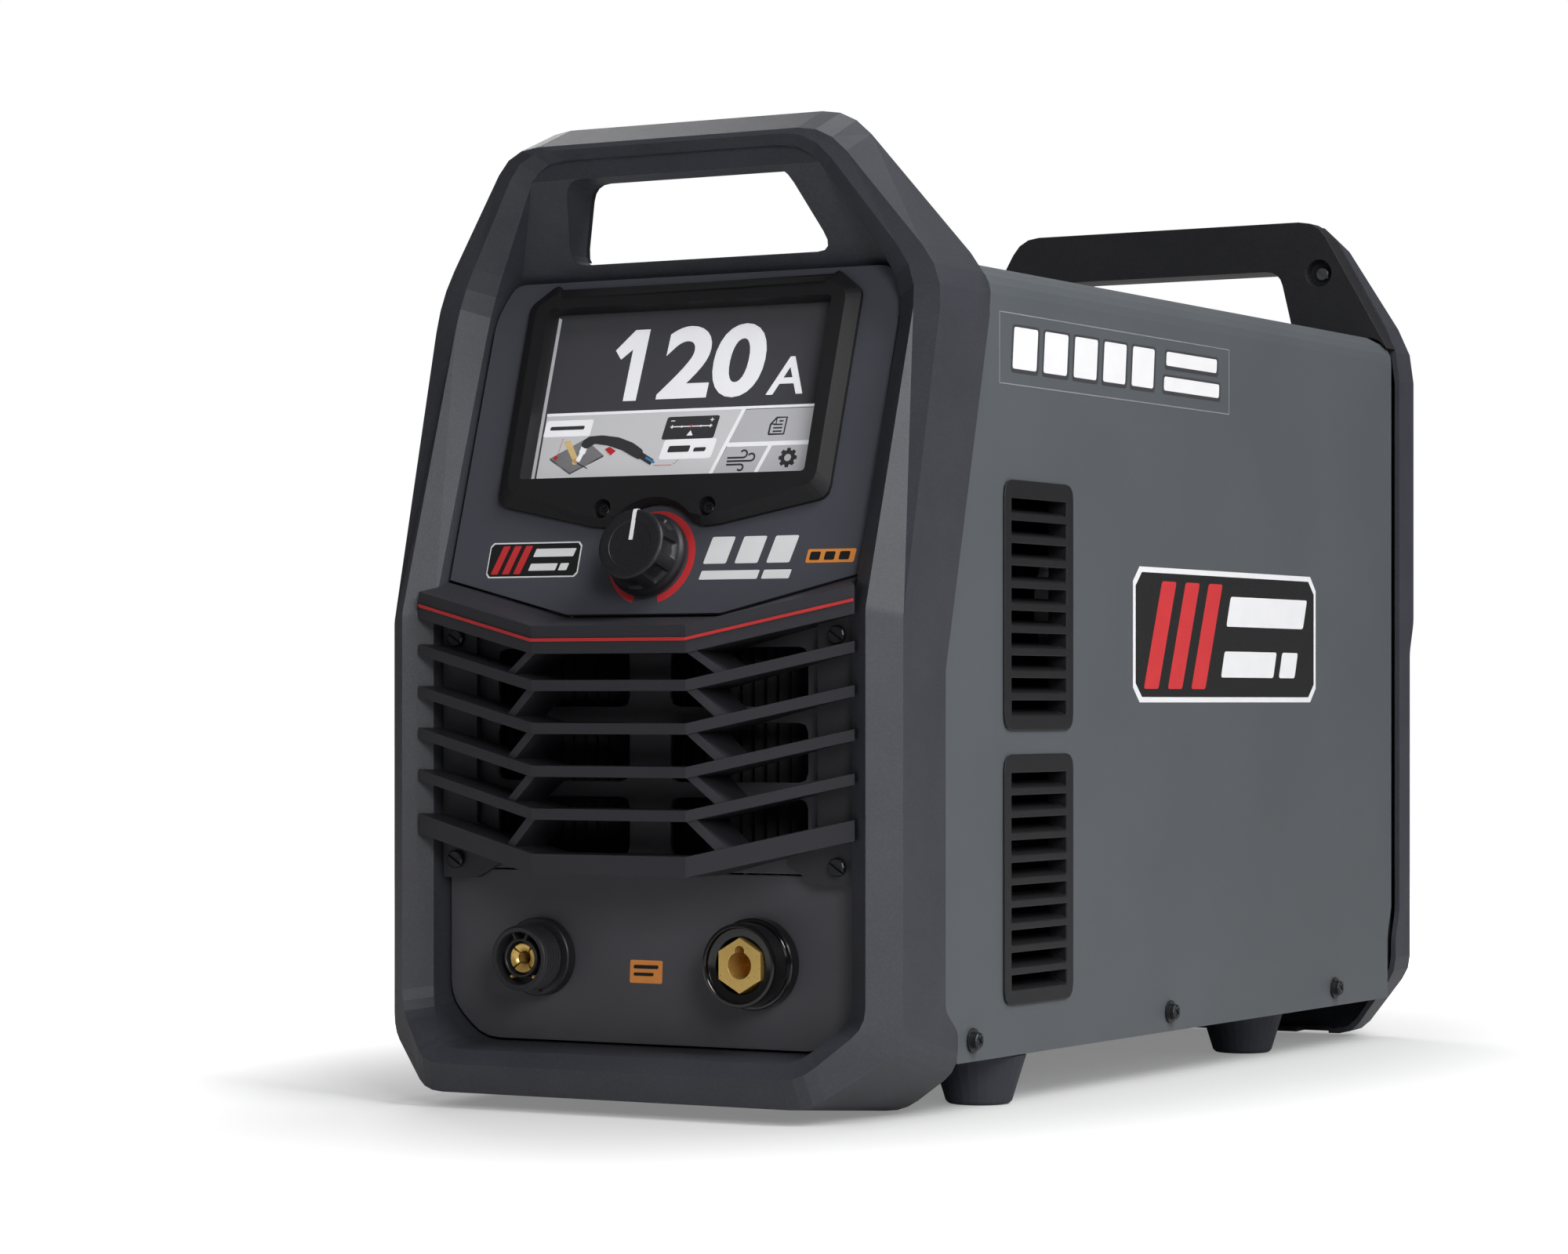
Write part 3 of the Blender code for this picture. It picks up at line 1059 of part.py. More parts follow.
def make_rear_fittings():
    """Supply cord gland, and the compressed air inlet with its hexagon."""
    x, z = GLAND
    frame = Matrix.Translation(at(x, REAR_PANEL_DEPTH + SHEET, z)) @ TOWARDS_BACK
    gland = turned("cord_gland", [(0.0085, -0.0120), (0.0120, -0.0120), (0.0120, GAP), (0.0165, GAP),
                                  (0.0165, 0.0080), (0.0150, 0.0085), (0.0135, 0.0200), (0.0118, 0.0225),
                                  (0.0085, 0.0225)], "black_plastic", frame, 18)
    bm = bmesh.new()
    hexagon = [(0.0190 * math.cos(math.radians(60 * i)), 0.0190 * math.sin(math.radians(60 * i)))
               for i in range(6)]
    add_prism(bm, hexagon, 0.0010, 0.0072)
    nut = publish("gland_nut", bm, "black_plastic", frame, True)
    core = turned("gland_core", [(0, -0.02), (0.0118, -0.02), (0.0118, 0.03), (0, 0.03)], "black_plastic",
                  frame,
                  18, True)
    combine(nut, core, "DIFFERENCE")
    combine(gland, nut, "UNION")

    x, z = AIR_INLET
    frame = Matrix.Translation(at(x, REAR_PANEL_DEPTH + SHEET, z)) @ TOWARDS_BACK
    inlet = turned("air_inlet_fitting", [(0.0035, -0.0140), (0.0080, -0.0140), (0.0080, GAP), (0.0100, GAP),
                                         (0.0100, 0.0110), (0.0068, 0.0112), (0.0068, 0.0145),
                                         (0.0056, 0.0160), (0.0056, 0.0190), (0.0066, 0.0202),
                                         (0.0066, 0.0222), (0.0035, 0.0232)],
                   "brass", frame, 14)
    bm = bmesh.new()
    hexagon = [(0.0125 * math.cos(math.radians(60 * i)), 0.0125 * math.sin(math.radians(60 * i)))
               for i in range(6)]
    add_prism(bm, hexagon, 0.0008, 0.0090)
    nut = publish("inlet_nut", bm, "brass", frame, True)
    core = turned("inlet_core", [(0, -0.02), (0.0078, -0.02), (0.0078, 0.03), (0, 0.03)], "brass", frame,
                  14, True)
    combine(nut, core, "DIFFERENCE")
    combine(inlet, nut, "UNION")


# ---------------------------------------------------------------- inside
def add_world_box(bm, low, high):
    """Box between two corners given by (x, depth, z)."""
    add_box(bm, at(*low), at(*high))


def make_heat_sink():
    """Extruded aluminium heat sink with upright fins under the power board."""
    left, right = -0.1150, 0.0150
    fins = 13
    top = 0.1300
    pitch = (right - left) / fins
    outline = [(left, top), (right, top)]
    for fin in range(fins, 0, -1):
        edge = left + pitch * fin
        outline += [(edge, FLOOR), (edge - 0.0030, FLOOR), (edge - 0.0030, top - 0.0120),
                    (edge - pitch, top - 0.0120)]
    outline[-1] = (left, top - 0.0120)
    front_plate("heat_sink", outline, 0.2300, 0.5000, "aluminium")


def make_power_board():
    """Main inverter board on the heat sink, with its capacitors."""
    bm = bmesh.new()
    add_world_box(bm, (-0.1250, 0.2150, 0.1420), (0.0300, 0.5150, 0.1438))
    board = publish("power_board", bm, "board_green")
    bm = bmesh.new()
    for depth in (0.2500, 0.3300, 0.4100):
        add_world_box(bm, (-0.0900, depth, 0.1304), (-0.0200, depth + 0.0350, 0.1425))
    combine(board, publish("power_modules", bm, "board_green", hidden=True), "UNION")
    place = Matrix.Translation(at(-0.0850, 0.3600, 0.1442))
    turned("bus_capacitor", [(0, 0.0), (0.0320, 0.0), (0.0320, 0.0680), (0.0300, 0.0700), (0, 0.0700)],
           "gloss_black", place, 24)


def make_magnetics():
    """Main transformer on the floor pan, and the output choke."""
    bm = bmesh.new()
    add_world_box(bm, (0.0350, 0.3000, FLOOR), (0.1250, 0.3900, FLOOR + 0.0900))
    transformer = publish("main_transformer", bm, "dark_steel")
    bm = bmesh.new()
    add_world_box(bm, (0.0500, 0.2880, FLOOR + 0.0200), (0.1100, 0.4020, FLOOR + 0.0700))
    combine(transformer, publish("winding", bm, "copper", hidden=True), "UNION")
    rings = []
    for k in range(8):
        angle = 2 * math.pi * k / 8
        rings.append((0.0300 + 0.0110 * math.cos(angle), 0.0150 + 0.0150 * math.sin(angle)))
    place = Matrix.Translation(at(0.0800, 0.4700, FLOOR))
    turned("output_choke", rings, "copper", place, 18)


def make_boards_and_air():
    """Control board behind the fascia, air solenoid valve and the hose to the torch socket."""
    bm = bmesh.new()
    add_world_box(bm, (-0.0950, 0.1180, 0.1500), (0.0950, 0.1196, 0.3000))
    board = publish("control_board", bm, "board_green")
    bm = bmesh.new()
    add_world_box(bm, (-0.0400, 0.1190, 0.1900), (0.0200, 0.1260, 0.2400))
    combine(board, publish("processor", bm, "board_green", hidden=True), "UNION")

    bm = bmesh.new()
    add_world_box(bm, (-0.1100, 0.5600, 0.0620), (-0.0660, 0.6180, 0.1060))
    valve = publish("air_valve", bm, "brass")
    bm = bmesh.new()
    add_world_box(bm, (-0.1020, 0.5700, 0.1050), (-0.0740, 0.6050, 0.1400))
    combine(valve, publish("valve_coil", bm, "brass", hidden=True), "UNION")
    place = Matrix.Translation(at(AIR_INLET[0], 0.6100, AIR_INLET[1])) @ TOWARDS_BACK
    neck = turned("valve_neck", [(0, 0.0), (0.0070, 0.0), (0.0070, 0.0310), (0, 0.0310)], "brass", place,
                  16, True)
    combine(valve, neck, "UNION")
    make_air_hose()


def make_air_hose():
    """Air hose from the valve forward to the torch socket, along the left side of the floor pan."""
    route = [(-0.0880, 0.5590, 0.0850), (-0.0900, 0.5450, 0.0848), (-0.1100, 0.5250, 0.0780),
             (-0.1280, 0.4950, 0.0700), (-0.1300, 0.4300, 0.0660), (-0.1300, 0.3000, 0.0660),
             (-0.1290, 0.2000, 0.0680), (-0.1180, 0.1450, 0.0700), (-0.0850, 0.1050, 0.0740),
             (-0.0640, 0.0850, 0.0745), (-0.0630, 0.0600, 0.0745)]
    spots = [at(*p) for p in route]
    curve = bpy.data.curves.new("air_hose", "CURVE")
    curve.dimensions = "3D"
    curve.bevel_depth = 0.0042
    curve.bevel_resolution = 2
    curve.use_fill_caps = True
    points = []
    for i in range(len(spots) - 1):
        before = spots[max(i - 1, 0)]
        start, end = spots[i], spots[i + 1]
        after = spots[min(i + 2, len(spots) - 1)]
        steps = 3
        for k in range(steps):
            t = k / steps
            points.append(catmull_rom(before, start, end, after, t))
    points.append(spots[-1])
    spline = curve.splines.new("POLY")
    spline.points.add(len(points) - 1)
    for point, spot in zip(spline.points, points):
        point.co = (*spot, 1.0)
    hose = bpy.data.objects.new("air_hose", curve)
    bpy.context.scene.collection.objects.link(hose)
    curve.materials.append(material("hose_blue"))


def catmull_rom(before, start, end, after, t):
    """Point on the smooth curve between start and end."""
    return 0.5 * (start * 2 + (end - before) * t + (before * 2 - start * 5 + end * 4 - after) * t ** 2
                  + (start * 3 - before - end * 3 + after) * t ** 3)


# ---------------------------------------------------------------- fasteners
def screw(name, matrix, head, length, finish, slot, washer=0.0):
    """Screw along local +Z from its seat: a head standing out at -Z, with a slot or a cross cut in it."""
    radius, height = head
    shank = 0.0022
    profile = [(0, -height), (radius * 0.86, -height), (radius, -height + 0.0006)]
    if washer:
        profile += [(radius, -0.0012), (washer, -0.0012), (washer, -0.0002)]
    else:
        profile += [(radius, -0.0002)]
    profile += [(shank, -0.0002), (shank, length), (0, length)]
    body = turned(name, profile, finish, matrix, 12)
    width = 0.0011
    arms = (0.0,) if slot == "slot" else (0.0, 90.0)
    for arm in arms:
        bm = bmesh.new()
        reach = radius * (1.3 if slot == "slot" else 0.55)
        add_box(bm, (-reach, -width / 2, -height - 0.001), (reach, width / 2, -height + 0.0012))
        turn = Matrix.Rotation(math.radians(arm + 35), 4, "Z")
        combine(body, publish("driver_cut", bm, finish, matrix @ turn, True), "DIFFERENCE")
    return body


def make_fasteners():
    """Every screw that shows: case sides, grille tabs, display surround, both handle covers."""
    outside = CASE_HALF_WIDTH + 0.0002
    for side, hand in ((-1, "left"), (1, "right")):
        inward = TOWARDS_RIGHT if side < 0 else Matrix.Rotation(math.radians(-90), 4, "Y")
        for number, depth in enumerate(SIDE_SCREW_DEPTHS, 1):
            place = Matrix.Translation(at(side * outside, depth, SIDE_SCREW_Z)) @ inward
            screw(f"case_screw_{hand}_{number}", place, (0.0042, 0.0046), 0.0090, "dark_steel", "cross",
                  0.0062)
        for level, z in zip(("lower", "upper"), GRILLE_SCREW_Z):
            place = Matrix.Translation(at(side * 0.1106, 0.0346 - 0.0002, z)) @ TOWARDS_BACK
            screw(f"grille_screw_{level}_{hand}", place, (0.0046, 0.0032), 0.0058, "dark_steel", "slot")
        place = display_screw_place(side, -0.0024)
        screw(f"display_screw_{hand}", place, (0.0034, 0.0020), 0.0070, "dark_steel", "cross")
        place = Matrix.Translation(at(side * REAR_SCREW[0], 0.6440 + REAR_WELL_DEEP - 0.0002,
                                      REAR_SCREW[1]))
        place = place @ TOWARDS_BACK
        screw(f"rear_handle_screw_{hand}", place, (0.0042, 0.0026), -0.0001, "zinc_steel", "slot")


# ---------------------------------------------------------------- build
def clear_scene():
    """Remove every object, so that the model is all there is."""
    for obj in list(bpy.data.objects):
        bpy.data.objects.remove(obj, do_unlink=True)


def main():
    clear_scene()
    make_front_bezel()
    make_front_handle_cover()
    make_control_panel()
    make_display_bezel()
    make_display()
    make_knob()
    make_vent_grille()
    make_grille_stripe()
    make_inner_vent_panel()
    make_connector_panel()
    make_torch_socket()
    make_work_socket()
    make_case_cover()
    make_base_pan()
    make_feet()
    make_side_vents()
    make_rear_frame()
    make_rear_handle_cover()
    make_rear_panel()
    make_fan()
    make_power_switch()
    make_rear_fittings()
    make_heat_sink()
    make_power_board()
    make_magnetics()
    make_boards_and_air()
    make_fasteners()


main()
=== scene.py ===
import json
import math

import bmesh
import bpy
from mathutils import Matrix, Vector


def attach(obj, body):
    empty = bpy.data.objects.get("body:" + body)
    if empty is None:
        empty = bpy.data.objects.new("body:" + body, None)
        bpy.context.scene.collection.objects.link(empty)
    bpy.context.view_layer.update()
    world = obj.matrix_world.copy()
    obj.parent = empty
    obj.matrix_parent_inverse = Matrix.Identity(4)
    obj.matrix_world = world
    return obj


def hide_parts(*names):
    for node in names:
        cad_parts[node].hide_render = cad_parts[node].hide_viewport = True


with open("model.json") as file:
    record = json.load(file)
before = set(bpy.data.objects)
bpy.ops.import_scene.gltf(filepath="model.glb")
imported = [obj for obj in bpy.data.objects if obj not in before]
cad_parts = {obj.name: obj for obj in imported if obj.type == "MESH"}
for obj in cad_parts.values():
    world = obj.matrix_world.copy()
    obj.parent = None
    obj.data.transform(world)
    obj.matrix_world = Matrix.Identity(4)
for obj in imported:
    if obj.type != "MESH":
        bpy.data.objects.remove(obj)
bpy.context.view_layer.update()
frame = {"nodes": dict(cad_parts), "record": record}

# The unit's frame: +Z up, -Y to the front. The tilted fascia has its own frame, centred on the knob's axis.
FRONT = -0.34375                       # world Y of the unit's front edge
PANEL_ORIGIN = Vector((0.0, -0.30085, 0.2736))
PANEL_UP = Vector((0.0, 0.30071, 0.95372))
PANEL_IN = Vector((0.0, 0.95372, -0.30071))
SCREEN_FACE = 0.0036                   # how far the glass lies behind the fascia's surface
SCREEN_HALF = 0.083
SCREEN_LOW, SCREEN_HIGH = 0.0415, 0.1342
CASE_SIDE = 0.147
SOCKET_Z = 0.0745
SOCKET_X = 0.063
SOCKET_PLANE = FRONT + 0.0409


# ---------------------------------------------------------------- materials
def linear(rgb):
    """Linear colour of an sRGB colour given as 0 to 255."""
    def channel(value):
        value /= 255
        return value / 12.92 if value <= 0.04045 else ((value + 0.055) / 1.055) ** 2.4
    return tuple(channel(v) for v in rgb)


def shade(colour, factor):
    """Opaque colour made lighter or darker."""
    return tuple(min(1.0, c * factor) for c in colour) + (1.0,)


def surface(name, rgb, rough=0.5, metal=0.0, tone=0.10, tone_scale=30.0, grain=900.0, bump=0.15,
            depth=0.0002, glint_flecks=0.0, glint_fleck_scale=1400.0, coat=0.0, stretch=None, specular=0.5, glow=0.0):
    """Procedural finish: slow colour drift, fine surface grain with bump, and optional bright flecks
    painted into the colour as glints of light on the grain.
    """
    mat = bpy.data.materials.new(name)
    mat.use_nodes = True
    nodes, links = mat.node_tree.nodes, mat.node_tree.links
    bsdf = nodes["Principled BSDF"]
    bsdf.inputs["Metallic"].default_value = metal
    bsdf.inputs["Specular IOR Level"].default_value = specular
    if coat:
        bsdf.inputs["Coat Weight"].default_value = coat
        bsdf.inputs["Coat Roughness"].default_value = 0.12
    where = nodes.new("ShaderNodeTexCoord").outputs["Object"]
    if stretch:
        mapping = nodes.new("ShaderNodeMapping")
        mapping.inputs["Scale"].default_value = stretch
        links.new(where, mapping.inputs["Vector"])
        where = mapping.outputs["Vector"]
    drift = nodes.new("ShaderNodeTexNoise")
    drift.inputs["Scale"].default_value = tone_scale
    drift.inputs["Detail"].default_value = 5.0
    links.new(where, drift.inputs["Vector"])
    ramp = nodes.new("ShaderNodeValToRGB")
    base = linear(rgb)
    ramp.color_ramp.elements[0].position, ramp.color_ramp.elements[1].position = 0.3, 0.7
    ramp.color_ramp.elements[0].color = shade(base, 1.0 - tone)
    ramp.color_ramp.elements[1].color = shade(base, 1.0 + tone)
    links.new(drift.outputs["Fac"], ramp.inputs["Fac"])
    colour = ramp.outputs["Color"]

    fine = nodes.new("ShaderNodeTexNoise")
    fine.inputs["Scale"].default_value = grain
    fine.inputs["Detail"].default_value = 3.0
    links.new(where, fine.inputs["Vector"])
    # Painted glints: bright flecks mixed into the base colour stand in for glints of light on the grain.
    if glint_flecks:
        glint_cells = nodes.new("ShaderNodeTexVoronoi")
        glint_cells.inputs["Scale"].default_value = glint_fleck_scale
        links.new(where, glint_cells.inputs["Vector"])
        hue = nodes.new("ShaderNodeSeparateColor")
        links.new(glint_cells.outputs["Color"], hue.inputs["Color"])
        glint_mask = nodes.new("ShaderNodeMapRange")
        glint_mask.inputs["From Min"].default_value, glint_mask.inputs["From Max"].default_value = 0.55, 1.0
        glint_mask.inputs["To Min"].default_value, glint_mask.inputs["To Max"].default_value = 0.0, glint_flecks
        links.new(hue.outputs["Red"], glint_mask.inputs["Value"])
        mix = nodes.new("ShaderNodeMix")
        mix.data_type = "RGBA"
        links.new(glint_mask.outputs["Result"], mix.inputs["Factor"])
        links.new(colour, mix.inputs["A"])
        mix.inputs["B"].default_value = shade(base, 3.2)
        colour = mix.outputs["Result"]
    links.new(colour, bsdf.inputs["Base Color"])
    if glow:
        links.new(colour, bsdf.inputs["Emission Color"])
        bsdf.inputs["Emission Strength"].default_value = glow

    gloss = nodes.new("ShaderNodeMapRange")
    gloss.inputs["To Min"].default_value = max(0.03, rough - 0.09)
    gloss.inputs["To Max"].default_value = min(1.0, rough + 0.09)
    links.new(fine.outputs["Fac"], gloss.inputs["Value"])
    links.new(gloss.outputs["Result"], bsdf.inputs["Roughness"])
    relief = nodes.new("ShaderNodeBump")
    relief.inputs["Strength"].default_value = bump
    relief.inputs["Distance"].default_value = depth
    links.new(fine.outputs["Fac"], relief.inputs["Height"])
    links.new(relief.outputs["Normal"], bsdf.inputs["Normal"])
    return mat


MATERIALS = {
    "bezel_plastic": surface("bezel_plastic", (56, 57, 64), 0.50, grain=1500, bump=0.35, depth=0.0003,
                             glint_flecks=0.10),
    "case_paint": surface("case_paint", (86, 91, 95), 0.50, grain=2600, bump=0.22, depth=0.00015, tone=0.05,
                          tone_scale=12),
    "panel_plastic": surface("panel_plastic", (76, 77, 86), 0.55, grain=2400, bump=0.18, tone=0.05,
                             tone_scale=14),
    # Painted shade: the panel's plastic made darker on the vent grille to stand in for the shade between
    # its slats.
    "grille_plastic_and_shade": surface("grille_plastic_and_shade", (47, 47, 53), 0.5, grain=2400, bump=0.18, tone=0.06,
                              tone_scale=14),
    "dark_panel": surface("dark_panel", (78, 77, 83), 0.55, grain=2400, bump=0.18, tone=0.06,
                          tone_scale=20),
    "black_plastic": surface("black_plastic", (22, 22, 25), 0.5, grain=1700, bump=0.3, depth=0.0003,
                             glint_flecks=0.12),
    "display_plastic": surface("display_plastic", (19, 19, 22), 0.62, grain=1700, bump=0.3, depth=0.0003,
                               glint_flecks=0.10),
    "handle_plastic": surface("handle_plastic", (33, 33, 37), 0.48, grain=1700, bump=0.3, depth=0.0003,
                              glint_flecks=0.12),
    "knob_plastic": surface("knob_plastic", (30, 30, 33), 0.42, grain=1800, bump=0.3, depth=0.0003,
                            glint_flecks=0.22, glint_fleck_scale=1900),
    "shell_plastic": surface("shell_plastic", (38, 38, 42), 0.4, grain=1700, bump=0.2, depth=0.0002,
                             tone=0.08),
    "gloss_black": surface("gloss_black", (12, 12, 13), 0.16, grain=400, bump=0.03, coat=0.5, tone=0.15),
    "rubber": surface("rubber", (46, 48, 57), 0.72, grain=1200, bump=0.35, depth=0.0003),
    "red_trim": surface("red_trim", (196, 50, 50), 0.42, grain=1800, bump=0.08, tone=0.07),
    "brass": surface("brass", (238, 200, 118), 0.3, metal=0.7, grain=500, bump=0.05, stretch=(1, 6, 1),
                     tone=0.1),
    "zinc_steel": surface("zinc_steel", (165, 168, 172), 0.34, metal=1.0, grain=700, bump=0.08,
                          stretch=(6, 1, 1)),
    "dark_steel": surface("dark_steel", (64, 65, 68), 0.34, metal=0.85, grain=900, bump=0.1),
    "aluminium": surface("aluminium", (200, 202, 205), 0.36, metal=1.0, grain=600, bump=0.08,
                         stretch=(1, 8, 1)),
    "board_green": surface("board_green", (28, 88, 52), 0.35, grain=300, bump=0.2, tone=0.25,
                           tone_scale=140),
    "copper": surface("copper", (176, 108, 70), 0.3, metal=0.9, grain=500, bump=0.3, stretch=(14, 1, 1)),
    "hose_blue": surface("hose_blue", (38, 88, 158), 0.4, grain=500, bump=0.05),
    "glass": surface("glass", (80, 80, 85), 0.22, grain=300, bump=0.01, tone=0.03, tone_scale=9,
                     specular=0.35),
}
PRINT = {
    "light": surface("screen_light", (193, 193, 196), 0.4, tone=0.05, tone_scale=9, bump=0.01, glow=0.34),
    "button": surface("screen_button", (178, 178, 182), 0.4, tone=0.05, tone_scale=12, bump=0.01,
                      glow=0.34),
    "bright": surface("screen_bright", (236, 236, 240), 0.42, tone=0.02, tone_scale=60, bump=0.01,
                      glow=0.34),
    "white": surface("print_white", (246, 246, 248), 0.42, tone=0.02, tone_scale=60, bump=0.02),
    "ink": surface("screen_ink", (66, 66, 70), 0.4, tone=0.05, tone_scale=60, bump=0.01),
    "plate": surface("screen_plate", (142, 142, 145), 0.4, tone=0.10, tone_scale=120, bump=0.01),
    "red": surface("print_red", (212, 56, 60), 0.42, tone=0.05, tone_scale=90, bump=0.02),
    "glow": surface("screen_glow", (250, 214, 150), 0.4, tone=0.08, tone_scale=150, bump=0.01),
    "blue": surface("screen_blue", (74, 150, 205), 0.4, tone=0.08, tone_scale=150, bump=0.01),
    "orange": surface("label_orange", (240, 152, 72), 0.45, tone=0.05, tone_scale=90, bump=0.03),
    # Near-black print for badge fields and label bars, also used as painted shade for the sheet behind the
    # vent.
    "dark_print_and_shade": surface("dark_print_and_painted_shade", (18, 18, 20), 0.7, tone=0.1, tone_scale=90, bump=0.05),
}
EDGES = {"bezel_plastic": 0.0009, "display_plastic": 0.0008, "handle_plastic": 0.0008, "case_paint": 0.0005,
         "panel_plastic": 0.0006, "black_plastic": 0.0006, "dark_panel": 0.0005, "gloss_black": 0.0005,
         "rubber": 0.0010}
FINE_EDGE = 0.0003                     # edge radius of the materials that EDGES doesn't list
# Pieces whose look differs from that of their material slot.
LOOKS = {"vent_grille": "grille_plastic_and_shade", "display_bezel": "display_plastic",
         "rear_handle_cover": "handle_plastic"}


def soften(obj, width):
    """Rounded edges and smooth shading, left as modifiers."""
    weld = obj.modifiers.new("weld", "WELD")
    weld.merge_threshold = 1e-5
    bevel = obj.modifiers.new("bevel", "BEVEL")
    bevel.width = width
    bevel.segments = 2
    bevel.limit_method = "ANGLE"
    bevel.angle_limit = math.radians(28.0)
    bevel.use_clamp_overlap = True
    bevel.miter_outer = "MITER_ARC"
    even = obj.modifiers.new("even", "WEIGHTED_NORMAL")
    even.keep_sharp = True


slot_of = {part["node"]: part["material_slot"] for part in frame["record"]["subparts"]}
for node, obj in frame["nodes"].items():
    finish = LOOKS.get(node, slot_of[node])
    if not obj.material_slots:
        obj.data.materials.append(None)
    for place in obj.material_slots:
        place.material = MATERIALS[finish]
    soften(obj, EDGES.get(finish, FINE_EDGE))


# ---------------------------------------------------------------- mesh helpers
def on_panel(x, up, inward):
    """World position of a point on the tilted fascia."""
    return PANEL_ORIGIN + Vector((x, 0, 0)) + PANEL_UP * up + PANEL_IN * inward


def on_side(side):
    """Mapping from (distance to the rear, height, standing out) to the case's side wall."""
    def place(depth, z, inward):
        return Vector((side * (CASE_SIDE - inward), FRONT + depth, z))
    return place


def on_connector(x, z, inward):
    """World position of a point on the connector panel's face."""
    return Vector((x, SOCKET_PLANE + inward, z))


def publish(name, bm, material, body="chassis", smooth=30.0):
    """Turn a bmesh into a piece that rides on a body."""
    bmesh.ops.remove_doubles(bm, verts=bm.verts, dist=1e-7)
    bmesh.ops.recalc_face_normals(bm, faces=bm.faces)
    mesh = bpy.data.meshes.new(name)
    bm.to_mesh(mesh)
    bm.free()
    mesh.materials.append(material)
    for face in mesh.polygons:
        face.use_smooth = True
    mesh.set_sharp_from_angle(angle=math.radians(smooth))
    obj = bpy.data.objects.new(name, mesh)
    bpy.context.collection.objects.link(obj)
    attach(obj, body)
    return obj


def prism(bm, place, outline, front, back):
    """Closed prism between two depths of a surface mapping."""
    near = [bm.verts.new(place(x, y, front)) for x, y in outline]
    far = [bm.verts.new(place(x, y, back)) for x, y in outline]
    bm.faces.new(near)
    bm.faces.new(far[::-1])
    for i in range(len(outline)):
        j = (i + 1) % len(outline)
        bm.faces.new((near[j], near[i], far[i], far[j]))


def rounded(corners, radius=0.001, steps=4):
    """Outline with every corner rounded by the same radius."""
    out = []
    count = len(corners)
    for i in range(count):
        here = Vector(corners[i])
        before = (Vector(corners[i - 1]) - here)
        after = (Vector(corners[(i + 1) % count]) - here)
        reach = min(radius, before.length * 0.45, after.length * 0.45)
        start = here + before.normalized() * reach
        end = here + after.normalized() * reach
        for k in range(steps + 1):
            t = k / steps
            point = start * (1 - t) ** 2 + here * 2 * t * (1 - t) + end * t ** 2
            out.append((point.x, point.y))
    return out


def slanted(left, right, low, high, lean=0.0, radius=0.001):
    """Rounded four-sided outline whose top is shifted to the right by lean."""
    return rounded([(left, low), (right, low), (right + lean, high), (left + lean, high)], radius)


def stroke(points, width):
    """Outline of a thick line through the points."""
    line = [Vector(p) for p in points]
    left, right = [], []
    for i, p in enumerate(line):
        ahead = (line[min(i + 1, len(line) - 1)] - line[max(i - 1, 0)]).normalized()
        across = Vector((-ahead.y, ahead.x)) * width / 2
        left.append(tuple(p + across))
        right.append(tuple(p - across))
    return left + right[::-1]


def disc(x, y, radius, steps=24):
    """Round outline."""
    return [(x + radius * math.cos(2 * math.pi * i / steps), y + radius * math.sin(2 * math.pi * i / steps))
            for i in range(steps)]


def printed(name, place, outlines, material, lift=0.00012, base=0.0, thick=0.00018):
    """Thin printed shapes lying just proud of a surface."""
    bm = bmesh.new()
    for outline in outlines:
        prism(bm, place, outline, base - lift, base - lift + thick)
    return publish(name, bm, material)


def join_rings(bm, rings, closed=False):
    """Skin of quads between rings of the same count, either round again to the first or capped."""
    pairs = list(zip(rings, rings[1:]))
    if closed:
        pairs.append((rings[-1], rings[0]))
    for first, second in pairs:
        for i in range(len(first)):
            j = (i + 1) % len(first)
            bm.faces.new((first[i], first[j], second[j], second[i]))
    if not closed:
        bm.faces.new(rings[0])
        bm.faces.new(rings[-1][::-1])


def turned(bm, profile, matrix, segments=64, closed=True):
    """Surface of revolution of a (radius, height) profile, either a closed loop or capped at both ends."""
    rings = []
    for radius, height in profile:
        ring = []
        for i in range(segments):
            angle = 2 * math.pi * i / segments
            ring.append(bm.verts.new(matrix @ Vector((radius * math.cos(angle), radius * math.sin(angle),
                                                      height))))
        rings.append(ring)
    join_rings(bm, rings, closed)


# ---------------------------------------------------------------- camera, floor and light
CAMERA_PLACE = (1.1368, -2.13915, 0.2025)
CAMERA_TURN = 30.0                     # degrees about the vertical
LENS, SENSOR = 100.06, 36.0            # mm
FRAME_SHIFT = 0.0475
FLOOR_HALF = 14.0
FLOOR_DROP = 0.0002                    # keeps the floor clear of the feet
FADE_NEAR, FADE_FAR = 0.16, 0.52       # where the floor's painted glow starts and ends rising to the backdrop's white
FLOOR_GLOW = 0.22                      # the floor's painted glow beside the unit, lower than far out, so the floor there is darker as painted shade
AMBIENT = 0.09
# name, place, target, width, height, power in watts
LIGHTS = [
    ("key", (1.75, -0.55, 2.0), (0.0, 0.0, 0.25), 1.0, 1.4, 46.0),
    ("front", (1.8, -2.0, 1.1), (0.0, -0.2, 0.25), 0.8, 0.9, 25.0),
    ("top", (0.1, 0.6, 2.2), (0.0, 0.0, 0.3), 1.4, 1.4, 12.0),
    ("rim", (-1.6, 1.4, 1.3), (0.0, 0.0, 0.3), 0.9, 0.9, 14.0),
]


